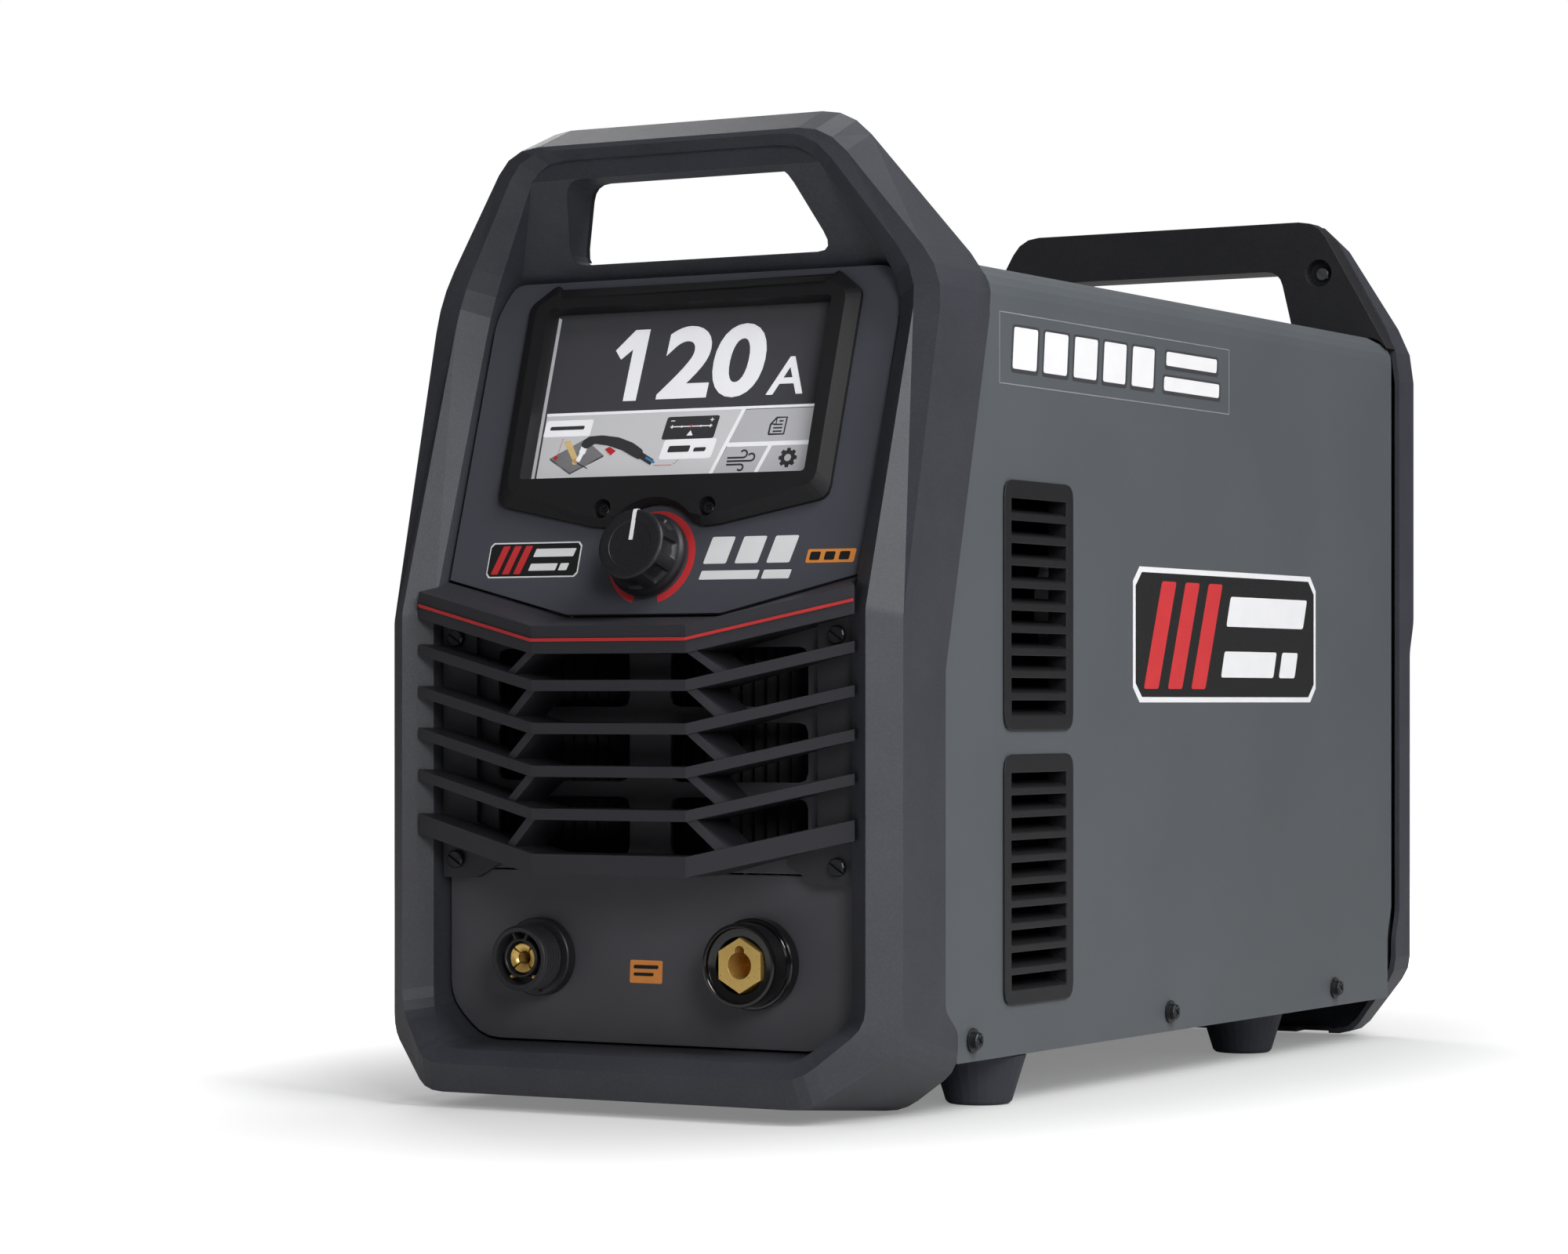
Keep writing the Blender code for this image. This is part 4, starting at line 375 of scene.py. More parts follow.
def light_floor(finish):
    """Floor with painted light: a glow seen only by camera rays, weak beside the unit, which paints shade
    round it, and rising with distance to the plain white of the backdrop; the lamps' shadow shows near the
    unit.
    """
    nodes, links = finish.node_tree.nodes, finish.node_tree.links
    bsdf = nodes["Principled BSDF"]
    bsdf.inputs["Emission Color"].default_value = (1.0, 1.0, 1.0, 1.0)
    where = nodes.new("ShaderNodeTexCoord").outputs["Object"]
    squeeze = nodes.new("ShaderNodeMapping")
    squeeze.inputs["Scale"].default_value = (1.0, 0.5, 1.0)
    links.new(where, squeeze.inputs["Vector"])
    reach = nodes.new("ShaderNodeVectorMath")
    reach.operation = "LENGTH"
    links.new(squeeze.outputs["Vector"], reach.inputs[0])
    # Painted light and shade: the glow rises from FLOOR_GLOW beside the unit to full white far out, so the
    # floor round the unit is darker.
    fade = nodes.new("ShaderNodeMapRange")
    fade.interpolation_type = "SMOOTHSTEP"
    fade.inputs["From Min"].default_value, fade.inputs["From Max"].default_value = FADE_NEAR, FADE_FAR
    fade.inputs["To Min"].default_value, fade.inputs["To Max"].default_value = FLOOR_GLOW, 1.0
    links.new(reach.outputs["Value"], fade.inputs["Value"])
    seen = nodes.new("ShaderNodeLightPath")
    glow = nodes.new("ShaderNodeMath")
    glow.operation = "MULTIPLY"
    links.new(fade.outputs["Result"], glow.inputs[0])
    links.new(seen.outputs["Is Camera Ray"], glow.inputs[1])
    links.new(glow.outputs["Value"], bsdf.inputs["Emission Strength"])


def make_camera(scene):
    """Long lens at the unit's front right corner, held level."""
    lens = bpy.data.cameras.new("camera")
    lens.lens, lens.sensor_width = LENS, SENSOR
    lens.shift_y = FRAME_SHIFT
    lens.clip_end = 50.0
    camera = bpy.data.objects.new("camera", lens)
    camera.location = CAMERA_PLACE
    camera.rotation_euler = (math.radians(90), 0, math.radians(CAMERA_TURN))
    bpy.context.collection.objects.link(camera)
    scene.camera = camera


def make_floor():
    """White floor, with the painted light and shade of light_floor."""
    finish = surface("floor_white", (215, 215, 215), 0.75, tone=0.01, tone_scale=3, grain=120, bump=0.02)
    light_floor(finish)
    bm = bmesh.new()
    bmesh.ops.create_grid(bm, x_segments=8, y_segments=8, size=FLOOR_HALF)
    mesh = bpy.data.meshes.new("floor")
    bm.to_mesh(mesh)
    bm.free()
    mesh.materials.append(finish)
    floor = bpy.data.objects.new("floor", mesh)
    floor.location.z = -FLOOR_DROP
    bpy.context.collection.objects.link(floor)


def make_backdrop(scene):
    """White backdrop that is seen at full strength but lights the unit only softly."""
    world = bpy.data.worlds.new("studio")
    scene.world = world
    world.use_nodes = True
    nodes, links = world.node_tree.nodes, world.node_tree.links
    ambient = nodes["Background"]
    backdrop = nodes.new("ShaderNodeBackground")
    for background, strength in ((ambient, AMBIENT), (backdrop, 1.0)):
        background.inputs["Color"].default_value = (1.0, 1.0, 1.0, 1.0)
        background.inputs["Strength"].default_value = strength
    seen = nodes.new("ShaderNodeLightPath")
    mix = nodes.new("ShaderNodeMixShader")
    links.new(seen.outputs["Is Camera Ray"], mix.inputs["Fac"])
    links.new(ambient.outputs["Background"], mix.inputs[1])
    links.new(backdrop.outputs["Background"], mix.inputs[2])
    links.new(mix.outputs["Shader"], nodes["World Output"].inputs["Surface"])


def hang_lights():
    """Soft area lights, each turned to its target."""
    for name, place, target, wide, high, power in LIGHTS:
        lamp = bpy.data.lights.new(name, "AREA")
        lamp.shape = "RECTANGLE"
        lamp.size, lamp.size_y, lamp.energy = wide, high, power
        holder = bpy.data.objects.new(name, lamp)
        holder.location = place
        holder.rotation_euler = (Vector(target) - Vector(place)).to_track_quat("-Z", "Y").to_euler()
        bpy.context.collection.objects.link(holder)


bpy.context.scene.view_settings.view_transform = "Standard"
make_camera(bpy.context.scene)
make_floor()
make_backdrop(bpy.context.scene)
hang_lights()


# ---------------------------------------------------------------- display picture
# The picture is made of thin layers on the glass, placed by (x, distance up the fascia).
LAYER = 0.00006                        # thickness of one layer
WALL = 0.0020                          # painted highlight: glowing strip along the left wall of the screen's opening
PICTURE_LEFT = -SCREEN_HALF + WALL + 0.0012
PICTURE_RIGHT = SCREEN_HALF - 0.0004
PICTURE_LOW = SCREEN_LOW + 0.0004
SPLIT = 0.0790                         # foot of the line between the reading and the tiles
MIDDLE = 0.0602                        # middle of the line between the two rows of tiles
GAP = 0.0022                           # width of the lines between tiles
FIRST, SECOND = 0.0222, 0.0492         # where the two slanted lines stand at SLANT_FOOT
SLANT_FOOT, SLANT = 0.0449, 0.4
DIGIT_LOW, DIGIT_HEIGHT, DIGIT_LEAN = 0.0858, 0.0385, 0.0024
ONE_LEFT, ONE_WIDTH = -0.0462, 0.0250


def tile(name, outlines, finish, level=1):
    """Flat shapes that reach a number of layers above the glass."""
    return printed(name, on_panel, outlines, PRINT[finish], LAYER * level, SCREEN_FACE, thick=LAYER * level)


def lettering(name, text, low, high, left, right, lean, weight):
    """Digits or a unit letter fitted to a box on the glass."""
    curve = bpy.data.curves.new(name, "FONT")
    curve.body = text
    curve.size = 1.0
    curve.shear = lean
    curve.offset = weight
    curve.extrude = 0.001
    curve.resolution_u = 6
    holder = bpy.data.objects.new(name, curve)
    bpy.context.collection.objects.link(holder)
    bpy.context.view_layer.update()
    mesh = bpy.data.meshes.new_from_object(holder.evaluated_get(bpy.context.evaluated_depsgraph_get()))
    bpy.data.objects.remove(holder)
    xs = [v.co.x for v in mesh.vertices]
    ys = [v.co.y for v in mesh.vertices]
    front, back = SCREEN_FACE - 0.00026, SCREEN_FACE - 0.00004
    for v in mesh.vertices:
        x = left + (v.co.x - min(xs)) / (max(xs) - min(xs)) * (right - left)
        up = low + (v.co.y - min(ys)) / (max(ys) - min(ys)) * (high - low)
        v.co = on_panel(x, up, front if v.co.z > 0 else back)
    bm = bmesh.new()
    bm.from_mesh(mesh)
    bpy.data.meshes.remove(mesh)
    return publish(name, bm, PRINT["bright"], smooth=20)


def make_reading():
    """Painted highlight along the left wall of the opening, and the large reading with its unit."""
    # Painted highlight: a glowing strip on the glass stands in for light falling on the left wall of the
    # opening.
    tile("screen_wall_highlight", [[(-SCREEN_HALF + x, up) for x, up in (
        (0.0002, SCREEN_LOW + 0.001), (WALL, SCREEN_LOW + 0.001), (WALL, SCREEN_HIGH - 0.002),
        (0.0002, SCREEN_HIGH - 0.001))]], "button", 3)
    one = [(0.43, 0), (0.73, 0), (0.71, 1), (0.37, 1), (-0.01, 0.72), (0.16, 0.59), (0.40, 0.73)]
    tile("screen_reading_one", [[(ONE_LEFT + ONE_WIDTH * x + DIGIT_LEAN * y, DIGIT_LOW + DIGIT_HEIGHT * y)
                                 for x, y in one]], "bright", 4)
    lettering("screen_reading", "20", 0.0855, 0.1250, -0.0160, 0.0445, 0.05, 0.030)
    lettering("screen_unit", "A", 0.0860, 0.1060, 0.0480, 0.0690, 0.10, 0.012)


def slant(start, up, right=0.0):
    """Point on a slanted line between tiles, at a height, moved to the right."""
    return start + (up - SLANT_FOOT) * SLANT + right, up


def make_tiles():
    """Field with the torch, three tiles at its right, the lines between them, and two tags."""
    tile("screen_divider", [[(PICTURE_LEFT, SPLIT), (PICTURE_RIGHT, SPLIT), (PICTURE_RIGHT, SPLIT + 0.0014),
                             (PICTURE_LEFT, SPLIT + 0.0014)]], "bright", 2)
    tile("screen_field", [[(PICTURE_LEFT, PICTURE_LOW), slant(FIRST, PICTURE_LOW), slant(FIRST, SPLIT),
                           (PICTURE_LEFT, SPLIT)]], "light")
    above, below, half = MIDDLE + GAP / 2, MIDDLE - GAP / 2, GAP / 2

    def second(up, right):
        """Point on the second slanted line, which ends at the middle line."""
        return slant(SECOND, MIDDLE, right)[0], up

    tile("screen_tiles", [
        [slant(FIRST, above, GAP), (PICTURE_RIGHT, above), (PICTURE_RIGHT, SPLIT - 0.0004),
         (slant(FIRST, SPLIT, GAP)[0], SPLIT - 0.0004)],
        [slant(FIRST, PICTURE_LOW, GAP), slant(SECOND, PICTURE_LOW, -half), second(below, -half),
         (slant(FIRST, MIDDLE, GAP)[0], below)],
        [slant(SECOND, PICTURE_LOW, half), (PICTURE_RIGHT, PICTURE_LOW), (PICTURE_RIGHT, below),
         second(below, half)]], "button")
    tile("screen_gaps", [
        [slant(FIRST, PICTURE_LOW), slant(FIRST, PICTURE_LOW, GAP), slant(FIRST, SPLIT, GAP),
         slant(FIRST, SPLIT)],
        [(slant(FIRST, MIDDLE, GAP)[0], below), (PICTURE_RIGHT, below), (PICTURE_RIGHT, above),
         (slant(FIRST, MIDDLE, GAP)[0], above)],
        [slant(SECOND, PICTURE_LOW, -half), slant(SECOND, PICTURE_LOW, half), second(below, half),
         second(below, -half)]], "bright")
    tile("screen_tags", [slanted(-0.0800, -0.0520, 0.0677, 0.0764, 0.001, 0.0009),
                         slanted(-0.0085, 0.0218, 0.0535, 0.0640, 0.0022, 0.0014)], "bright", 2)
    tile("screen_tag_bars", [slanted(-0.0765, -0.0560, 0.0712, 0.0732, 0.0004, 0.0008),
                             slanted(-0.0040, 0.0085, 0.0572, 0.0606, 0.0008, 0.0008),
                             slanted(0.0110, 0.0180, 0.0572, 0.0594, 0.0006, 0.0008)], "ink", 3)


def make_gauge():
    """Dark scale with five ticks, a minus, a plus, a marker below and a red tick for the value."""
    tile("screen_gauge", [slanted(-0.0088, 0.0217, 0.0641, 0.0762, 0.0020, 0.0014)], "ink", 2)
    axis, line, ticks = 0.0708, 0.0005, 5
    marks = [stroke([(-0.0045, axis), (0.0200, axis)], line)]
    for k in range(ticks):
        tall = 0.0018 if k in (0, ticks - 1) else 0.0011
        x = -0.0035 + k * 0.0056
        marks.append(stroke([(x, axis - tall / 2), (x + 0.0002, axis + tall / 2)], line))
    for points in ([(0.0183, 0.0740), (0.0205, 0.0740)], [(0.0194, 0.0730), (0.0194, 0.0750)],
                   [(-0.0045, 0.0740), (-0.0022, 0.0740)]):
        marks.append(stroke(points, 0.0004))
    marks.append([(0.0058, 0.0659), (0.0094, 0.0659), (0.0078, 0.0686)])
    tile("screen_gauge_marks", marks, "bright", 3)
    tile("screen_gauge_now", [stroke([(0.0077, 0.0697), (0.0079, 0.0719)], 0.0006)], "red", 4)


def dashes(count, start, step, size):
    """Dotted line of short strokes."""
    return [stroke([(start[0] + k * step[0], start[1] + k * step[1]),
                    (start[0] + k * step[0] + size[0], start[1] + k * step[1] + size[1])], 0.0004)
            for k in range(count)]


def make_torch_picture():
    """Torch with its glowing nozzle over a plate, its trigger, and dotted lines to the tags."""
    left, near, right, far = (-0.0735, 0.0560), (-0.0600, 0.0478), (-0.0415, 0.0568), (-0.0540, 0.0660)
    tile("screen_work_plate", [[left, near, right, far]], "plate", 2)
    tile("screen_work_edge", [[left, (-0.0733, 0.0551), (-0.0600, 0.0470), near],
                              [near, (-0.0600, 0.0470), (-0.0415, 0.0560), right],
                              stroke([(-0.0575, 0.0535), (-0.0500, 0.0500)], 0.0005)], "ink", 3)
    tile("screen_glow", [[(-0.0668, 0.0648), (-0.0628, 0.0655), (-0.0560, 0.0545), (-0.0585, 0.0530)],
                         disc(-0.0580, 0.0538, 0.0017)], "glow", 3)
    tile("screen_nozzle", [stroke([(-0.0565, 0.0540), (-0.0545, 0.0588)], 0.0024),
                           stroke([(-0.0547, 0.0582), (-0.0537, 0.0618)], 0.0036)], "bright", 4)
    body = [(-0.0560, 0.0622), (-0.0552, 0.0650), (-0.0520, 0.0672), (-0.0440, 0.0676), (-0.0340, 0.0662),
            (-0.0250, 0.0630), (-0.0185, 0.0590), (-0.0180, 0.0560), (-0.0200, 0.0538), (-0.0240, 0.0556),
            (-0.0310, 0.0592), (-0.0400, 0.0620), (-0.0480, 0.0632), (-0.0512, 0.0610), (-0.0530, 0.0606)]
    lead = stroke([(-0.0190, 0.0560), (-0.0120, 0.0522)], 0.0034)
    tile("screen_torch", [rounded(body, 0.0012), lead], "ink", 5)
    tile("screen_torch_band", [stroke([(-0.0160, 0.0548), (-0.0105, 0.0520)], 0.0012)], "blue", 6)
    trigger = [(-0.0412, 0.0600), (-0.0372, 0.0566), (-0.0345, 0.0590), (-0.0385, 0.0612)]
    tile("screen_trigger", [trigger], "red", 6)
    dots = [disc(-0.0700, 0.0562, 0.0012)]
    dots += dashes(8, (-0.0690, 0.0582), (0.0002, 0.0011), (0.0001, 0.0005))
    dots += dashes(9, (-0.0105, 0.0505), (0.0012, 0.0), (0.0006, 0.0))
    dots += dashes(3, (0.0010, 0.0509), (0.0009, 0.0009), (0.0004, 0.0004))
    tile("screen_dots", dots, "red", 4)


def gust(x, up, radius, turn):
    """A gust of wind: a line that ends in a hook, turned up or down."""
    points = [(0.0318, up), (x, up)]
    for k in range(1, 11):
        angle = math.radians(turn * (k * 24 - 90))
        points.append((x + radius * math.cos(angle), up + turn * radius + radius * math.sin(angle)))
    return stroke(points, 0.0010)


def make_icons():
    """A written page, three gusts of wind and a gear wheel, one on each tile."""
    sheet = [(0.0533, 0.0650), (0.0620, 0.0650), (0.0626, 0.0738), (0.0568, 0.0738), (0.0537, 0.0702),
             (0.0533, 0.0650)]
    page = [stroke(sheet, 0.0010), stroke([(0.0568, 0.0736), (0.0568, 0.0704), (0.0540, 0.0704)], 0.0007)]
    page += [stroke([(0.0555, up), (0.0606, up)], 0.0008)
             for up in (0.0665 + k * 0.0018 for k in range(3))]
    page.append(stroke([(0.0585, 0.0719), (0.0608, 0.0719)], 0.0008))
    wind = [gust(0.0410, 0.0532, 0.0019, 1), gust(0.0455, 0.0514, 0.0019, 1),
            gust(0.0400, 0.0496, 0.0016, -1)]
    centre, tip, root, hole, teeth = (0.0665, 0.0524), 0.0052, 0.0040, 0.0019, 8
    gear = []
    for k in range(teeth):
        for offset, radius in ((-17, root), (-10, tip), (10, tip), (17, root)):
            angle = math.radians(k * 360 / teeth + offset)
            gear.append((centre[0] + radius * math.cos(angle), centre[1] + radius * math.sin(angle)))
    tile("screen_icons", page + wind + [gear], "ink", 2)
    tile("screen_gear_hole", [disc(*centre, hole)], "button", 3)


make_reading()
make_tiles()
make_gauge()
make_torch_picture()
make_icons()


# ---------------------------------------------------------------- printed marks on the unit
FIRST_COAT, SECOND_COAT, THIRD_COAT = 0.00014, 0.0002, 0.0003     # prints lying over one another


def badge(name, place, left, right, low, high, radius):
    """Generic eight-sided plate: white rim, black field, three red bands and three white bars."""
    def fit(x, y):
        """Point given in parts of the plate's width and height."""
        return left + x * (right - left), low + y * (high - low)

    def bar(x_start, x_end, y_start, y_end, lean):
        start, end = fit(x_start, y_start), fit(x_end, y_end)
        return slanted(start[0], end[0], start[1], end[1], lean * (right - left), radius)

    plate = [(0.033, 0), (0.967, 0), (1, 0.11), (1, 0.89), (0.967, 1), (0.033, 1), (0, 0.89), (0, 0.11)]
    field = [(0.5 + (x - 0.5) * 0.975, 0.5 + (y - 0.5) * 0.92) for x, y in plate]
    bands = [bar(0.053 + k * 0.123, 0.127 + k * 0.123, 0.10, 0.90, 0.094) for k in range(3)]
    bars = [bar(0.488, 0.922, 0.58, 0.81, 0.025), bar(0.459, 0.750, 0.19, 0.39, 0.020),
            bar(0.783, 0.873, 0.19, 0.39, 0.020)]
    printed(f"{name}_rim", place, [[fit(x, y) for x, y in plate]], PRINT["white"],
            thick=FIRST_COAT)
    printed(f"{name}_field", place, [[fit(x, y) for x, y in field]], PRINT["dark_print_and_shade"], SECOND_COAT,
            thick=SECOND_COAT)
    printed(f"{name}_bands", place, bands, PRINT["red"], THIRD_COAT, thick=THIRD_COAT)
    printed(f"{name}_bars", place, bars, PRINT["white"], THIRD_COAT, thick=THIRD_COAT)


def arc(radius, first, last, steps):
    """Points along a circle round the knob's axis, between two angles in degrees."""
    angles = [math.radians(first + (last - first) * k / steps) for k in range(steps + 1)]
    return [(radius * math.cos(angle), radius * math.sin(angle)) for angle in angles]


def make_fascia_marks():
    """Red scale ring round the knob, a badge at its left, plain blocks and an orange label at its right."""
    ring = arc(0.0246, -72, 252, 72) + arc(0.0208, 252, -72, 72)
    printed("knob_scale_ring", on_panel, [ring], PRINT["red"])
    badge("fascia_badge", on_panel, -0.0975, -0.0425, -0.0092, 0.0096, 0.0005)
    blocks = [slanted(0.0300 + shift, 0.0430 + shift, -0.0036, 0.0104, 0.0034, 0.0010)
              for shift in (0.0, 0.0180, 0.0360)]
    blocks += [slanted(left, right, -0.0118, -0.0072, 0.0011, 0.0006)
               for left, right in ((0.0290, 0.0620), (0.0645, 0.0800))]
    printed("fascia_blocks", on_panel, blocks, PRINT["white"])
    printed("fascia_label", on_panel, [slanted(0.0880, 0.1148, -0.0040, 0.0030, 0.0008)], PRINT["orange"])
    squares = [slanted(0.0900 + shift, 0.0956 + shift, -0.0026, 0.0016, 0.0005, 0.0008)
               for shift in (0.0, 0.0082, 0.0164)]
    printed("fascia_label_bars", on_panel, squares, PRINT["dark_print_and_shade"], lift=THIRD_COAT)


def make_socket_label():
    """Orange plate with two dark bars between the sockets."""
    plate = slanted(-0.0118, 0.0070, 0.0628, 0.0742, 0.0004)
    printed("socket_label", on_connector, [plate], PRINT["orange"])
    bars = [slanted(-0.0095, 0.0048, 0.0700, 0.0718, 0.0002),
            slanted(-0.0095, 0.0020, 0.0664, 0.0680, 0.0002)]
    printed("socket_label_bars", on_connector, bars, PRINT["dark_print_and_shade"], lift=THIRD_COAT)


def make_side_marks(side, hand):
    """A row of plain blocks in a thin border, and the badge, on one side of the case."""
    place = on_side(side)
    low, high, front, rear, line = 0.3610, 0.3965, 0.1330, 0.4100, 0.0006
    corners = [(front, low), (rear, low), (rear, high), (front, high)]
    border = [stroke([corners[i], corners[(i + 1) % 4]], line) for i in range(4)]
    pitch = 0.0345
    blocks = [(0.1470 + k * pitch, 0.1735 + k * pitch, 0.3690, 0.3900) for k in range(5)]
    blocks += [(0.3250, 0.3960, 0.3690, 0.3765), (0.3280, 0.3930, 0.3825, 0.3900)]
    bars, backs = [], []
    for x_start, x_end, z_start, z_end in blocks:
        lean = (z_end - z_start) * 0.10
        bars.append(slanted(x_start, x_end, z_start, z_end, lean, 0.0018))
        backs.append(slanted(x_start - 0.0016, x_end + 0.0022, z_start - 0.0020, z_end + 0.0012,
                             lean, 0.0024))
    printed(f"side_label_rim_{hand}", place, border, PRINT["plate"])
    printed(f"side_label_back_{hand}", place, backs, PRINT["ink"])
    printed(f"side_label_{hand}", place, bars, PRINT["white"], lift=SECOND_COAT,
            thick=SECOND_COAT)
    badge(f"side_badge_{hand}", place, 0.2870, 0.5310, 0.2020, 0.2740, 0.0020)


make_fascia_marks()
make_socket_label()
make_side_marks(-1, "left")
make_side_marks(1, "right")


# ---------------------------------------------------------------- knob
LOBES = 8
RECESS_DEPTH = 0.0023
# Matrix at the knob's axis: local +Z leaves the fascia, local +Y points up it.
KNOB_AXIS = Matrix((
    (1, 0, 0, PANEL_ORIGIN.x),
    (0, PANEL_UP.y, -PANEL_IN.y, PANEL_ORIGIN.y),
    (0, PANEL_UP.z, -PANEL_IN.z, PANEL_ORIGIN.z),
    (0, 0, 0, 1)))


def recess(angle):
    """Smooth step that is 1 in the middle of a recess and 0 on a lobe."""
    phase = (angle * LOBES / (2 * math.pi) + 0.5) % 1.0
    distance = abs(phase - 0.5) * 2
    t = min(1.0, max(0.0, (0.62 - distance) / 0.16))
    return t * t * (3 - 2 * t)


def make_knob_grip():
    """Grip with eight lobes and rounded recesses between them."""
    # radius, height and share of the recess's depth, from the skirt to the middle of the face
    profile = [(0.0206, 0.0030, 0), (0.0213, 0.0032, 0), (0.0215, 0.0038, 0), (0.0215, 0.0056, 0),
               (0.0212, 0.0063, 0), (0.0203, 0.0074, 0), (0.0198, 0.0082, 0), (0.0197, 0.0092, 0.1),
               (0.0196, 0.0100, 0.7), (0.0195, 0.0110, 1.0), (0.0190, 0.0150, 1.0), (0.0186, 0.0186, 1.0),
               (0.0185, 0.0196, 0.7), (0.0184, 0.0204, 0.1), (0.0181, 0.0213, 0), (0.0174, 0.0220, 0),
               (0.0160, 0.0222, 0), (0.0120, 0.0222, 0), (0.0118, 0.0220, 0), (0.0060, 0.0219, 0),
               (0.0010, 0.0219, 0)]
    segments = 160
    bm = bmesh.new()
    rings = []
    for radius, height, share in profile:
        ring = []
        for i in range(segments):
            angle = 2 * math.pi * i / segments
            reach = radius - share * recess(angle) * RECESS_DEPTH
            ring.append(bm.verts.new(KNOB_AXIS @ Vector((reach * math.cos(angle), reach * math.sin(angle),
                                                         height))))
        rings.append(ring)
    join_rings(bm, rings)
    grip = publish("knob_grip", bm, MATERIALS["knob_plastic"], body="knob", smooth=38)
    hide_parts("knob")


def make_knob_pointer():
    """White line over the face and down the side of the knob."""
    half, thick = 0.00105, 0.0004
    spine = [(0.0022, 0.02215), (0.0068, 0.02215), (0.0160, 0.02240), (0.0176, 0.02215), (0.0183, 0.02140),
             (0.01862, 0.0203), (0.0189, 0.0180), (0.0194, 0.0140), (0.0198, 0.0104)]
    bm = bmesh.new()
    rings = []
    for radius, height in spine:
        outer, inner = (radius, height), (radius - thick, height - thick)
        rings.append([bm.verts.new(KNOB_AXIS @ Vector((x, *depth)))
                      for x, depth in ((-half, outer), (half, outer), (half, inner), (-half, inner))])
    join_rings(bm, rings)
    publish("knob_pointer", bm, PRINT["white"], body="knob", smooth=40)


make_knob_grip()
make_knob_pointer()


# ---------------------------------------------------------------- sockets
THREAD_TURNS, THREAD_PITCH, THREAD_TOP = 6, 0.0023, 0.0220
CONTACT_QUARTERS, CONTACT_SWEEP, CONTACT_STEPS = 4, 80, 12


def socket_matrix(side):
    """Matrix at a socket's centre with local +Z pointing out towards the front."""
    return Matrix(((1, 0, 0, side * SOCKET_X), (0, 0, -1, SOCKET_PLANE), (0, 1, 0, SOCKET_Z), (0, 0, 0, 1)))


def make_torch_shell(place):
    """Threaded shell with a collar, an inner sleeve, two ribs of the key above it and three stops."""
    profile = [(0.0084, 0.0120), (0.0090, 0.0148), (0.0126, 0.0150), (0.0130, 0.0156), (0.0130, 0.0222),
               (0.0134, 0.0229), (0.0152, 0.0230), (0.0158, 0.0226)]
    for k in range(THREAD_TURNS):
        top = THREAD_TOP - k * THREAD_PITCH
        profile += [(0.0150, top - 0.0002), (0.0165, top - 0.0009), (0.0165, top - 0.0013),
                    (0.0150, top - 0.0021)]
    profile += [(0.0150, 0.0074), (0.0190, 0.0072), (0.0195, 0.0067), (0.0196, 0.0008), (0.0193, 0.0004),
                (0.0084, 0.0004)]
    bm = bmesh.new()
    turned(bm, profile, place, 96)
    sleeve = [(0.0084, 0.0118), (0.0084, 0.0206), (0.0088, 0.0210), (0.0094, 0.0210), (0.0097, 0.0206),
              (0.0097, 0.0118)]
    turned(bm, sleeve, place, 96)

    def on_socket(x, up, forward):
        return place @ Vector((x, up, forward))

    rib = [(0.0018, 0.0094), (0.0030, 0.0090), (0.0044, 0.0112), (0.0044, 0.0126), (0.0034, 0.0128),
           (0.0034, 0.0114)]
    for side in (-1, 1):
        prism(bm, on_socket, [(side * x, up) for x, up in rib], 0.0120, 0.0214)
    inner, outer, half = 0.0152, 0.0178, 6
    for angle in (35, 155, 275):
        corners = [(math.radians(angle + turn), reach)
                   for turn, reach in ((-half, inner), (-half, outer), (half, outer), (half, inner))]
        prism(bm, on_socket, [(math.cos(turn) * reach, math.sin(turn) * reach) for turn, reach in corners],
              0.0072, 0.0092)
    shell = publish("torch_socket_shell", bm, MATERIALS["shell_plastic"], smooth=35)
    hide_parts("torch_socket")


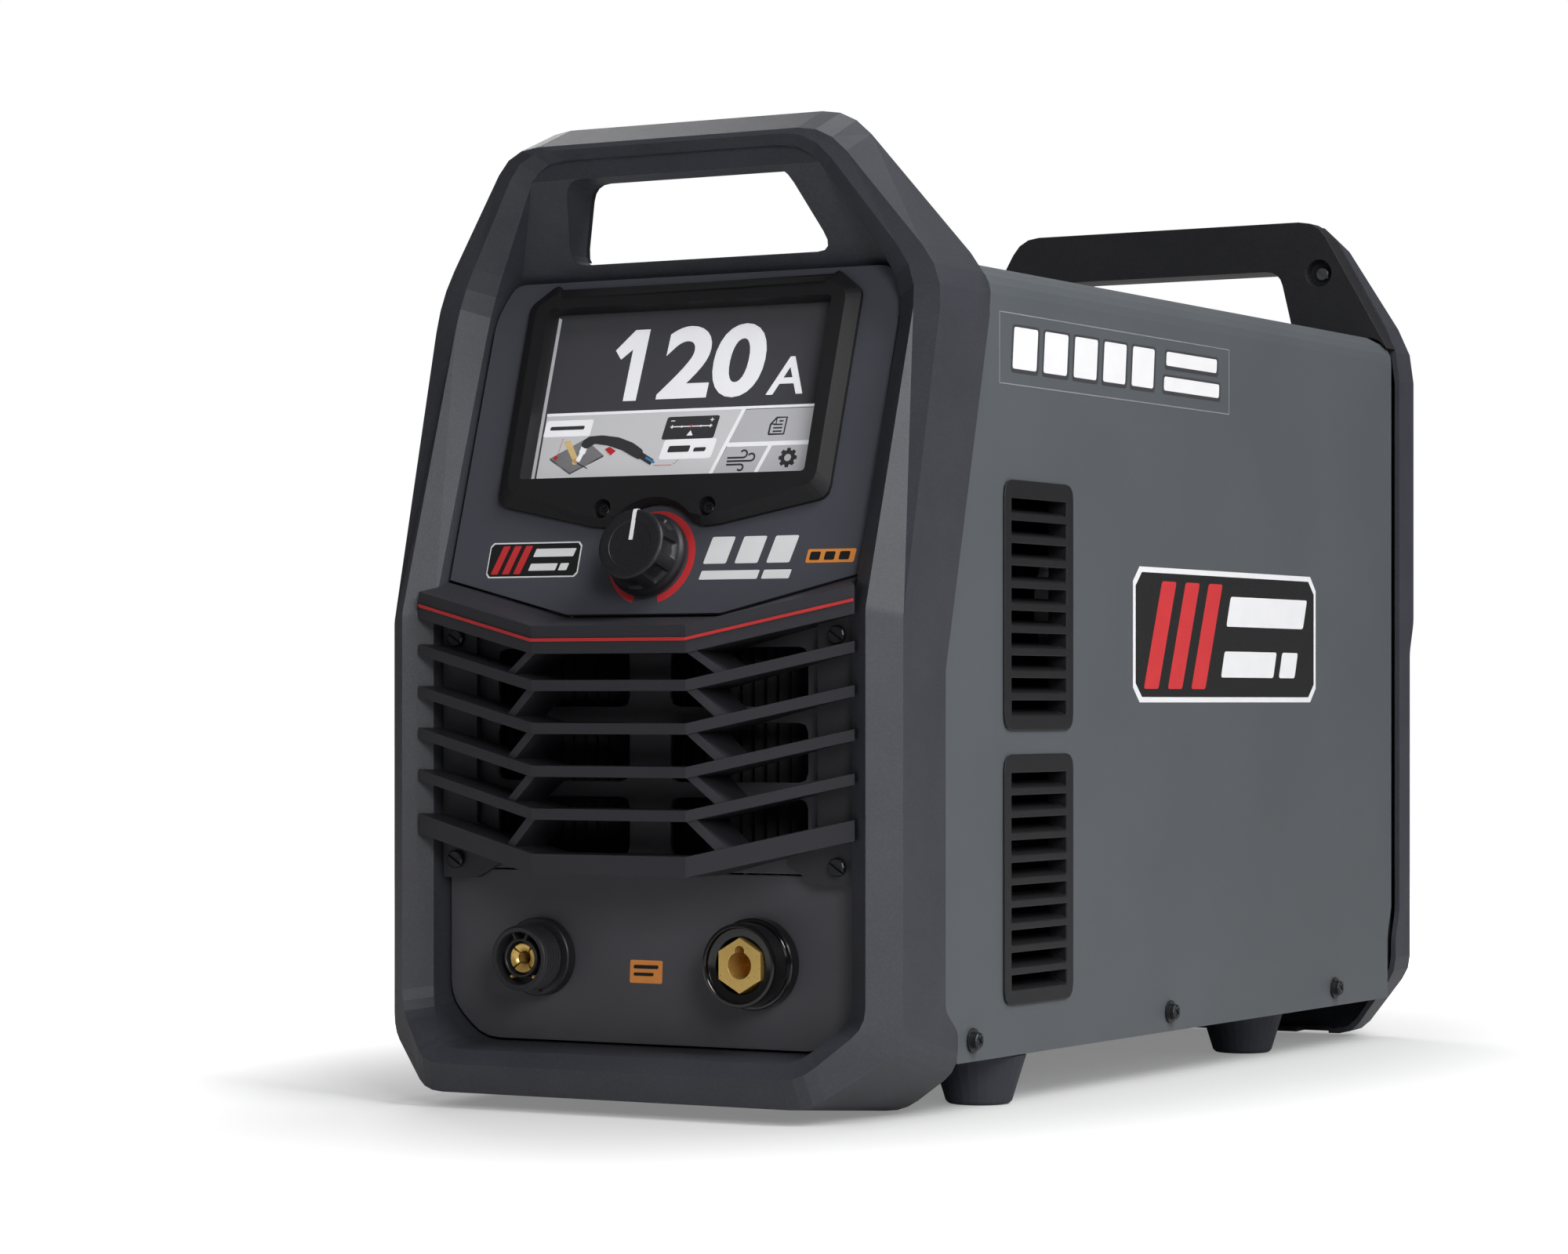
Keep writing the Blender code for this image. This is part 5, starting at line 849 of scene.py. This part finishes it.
def make_torch_contact(place):
    """Brass contact tube split into four quarters."""
    section = [(0.0036, 0.0172), (0.0042, 0.0178), (0.0060, 0.0190), (0.0070, 0.0190), (0.0075, 0.0186),
               (0.0078, 0.0176), (0.0078, 0.0020), (0.0036, 0.0020)]
    bm = bmesh.new()
    for quarter in range(CONTACT_QUARTERS):
        first = quarter * 90 + 50
        rings = []
        for k in range(CONTACT_STEPS + 1):
            angle = math.radians(first + k * CONTACT_SWEEP / CONTACT_STEPS)
            rings.append([bm.verts.new(place @ Vector((r * math.cos(angle), r * math.sin(angle), height)))
                          for r, height in section])
        join_rings(bm, rings)
    contact = publish("torch_contact_tube", bm, MATERIALS["brass"], smooth=35)
    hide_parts("torch_contact")


def make_torch_pins(place):
    """Two signal pins below the contact."""
    profile = [(0.0010, 0.0148), (0.0010, 0.0186), (0.0008, 0.0194), (0.0003, 0.0197)]
    bm = bmesh.new()
    for angle in (-55, -125):
        spot = place @ Matrix.Rotation(math.radians(angle), 4, "Z") @ Matrix.Translation((0.0114, 0, 0))
        turned(bm, profile, spot, 20, False)
    publish("torch_pins", bm, MATERIALS["brass"], smooth=40)


def make_work_socket(place):
    """Glossy insulating ring with a rounded lip round the brass insert."""
    profile = [(0.0141, 0.0100), (0.0141, 0.0184), (0.0146, 0.0186), (0.0176, 0.0187), (0.0180, 0.0190),
               (0.0182, 0.0207), (0.0186, 0.0212), (0.0194, 0.0213), (0.0202, 0.0209), (0.0206, 0.0200),
               (0.0206, 0.0084), (0.0209, 0.0080), (0.0220, 0.0079), (0.0225, 0.0074), (0.0225, 0.0008),
               (0.0222, 0.0004), (0.0141, 0.0004)]
    bm = bmesh.new()
    turned(bm, profile, place, 96)
    ring = publish("work_socket_ring", bm, MATERIALS["gloss_black"], smooth=35)
    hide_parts("work_socket")


make_torch_shell(socket_matrix(-1))
make_torch_contact(socket_matrix(-1))
make_torch_pins(socket_matrix(-1))
make_work_socket(socket_matrix(1))


# ---------------------------------------------------------------- painted shade behind the vent
def make_vent_shade_sheet():
    """Pleated near-black sheet behind the inner vent panel: painted shade that stands in for the dark
    inside of the case.
    """
    low, high, half = 0.1180, 0.2420, 0.1050
    front, deep, thick, folds = FRONT + 0.0600, 0.0050, 0.0012, 60
    bm = bmesh.new()
    rings = []
    for k in range(folds + 1):
        x = -half + 2 * half * k / folds
        y = front + (deep if k % 2 else 0.0)
        rings.append([bm.verts.new(corner) for corner in ((x, y, low), (x, y, high), (x, y + thick, high),
                                                          (x, y + thick, low))])
    join_rings(bm, rings)
    # Painted shade: a near-black sheet behind the vent stands in for the dark inside of the case.
    publish("vent_shade_sheet", bm, PRINT["dark_print_and_shade"], smooth=20)


make_vent_shade_sheet()
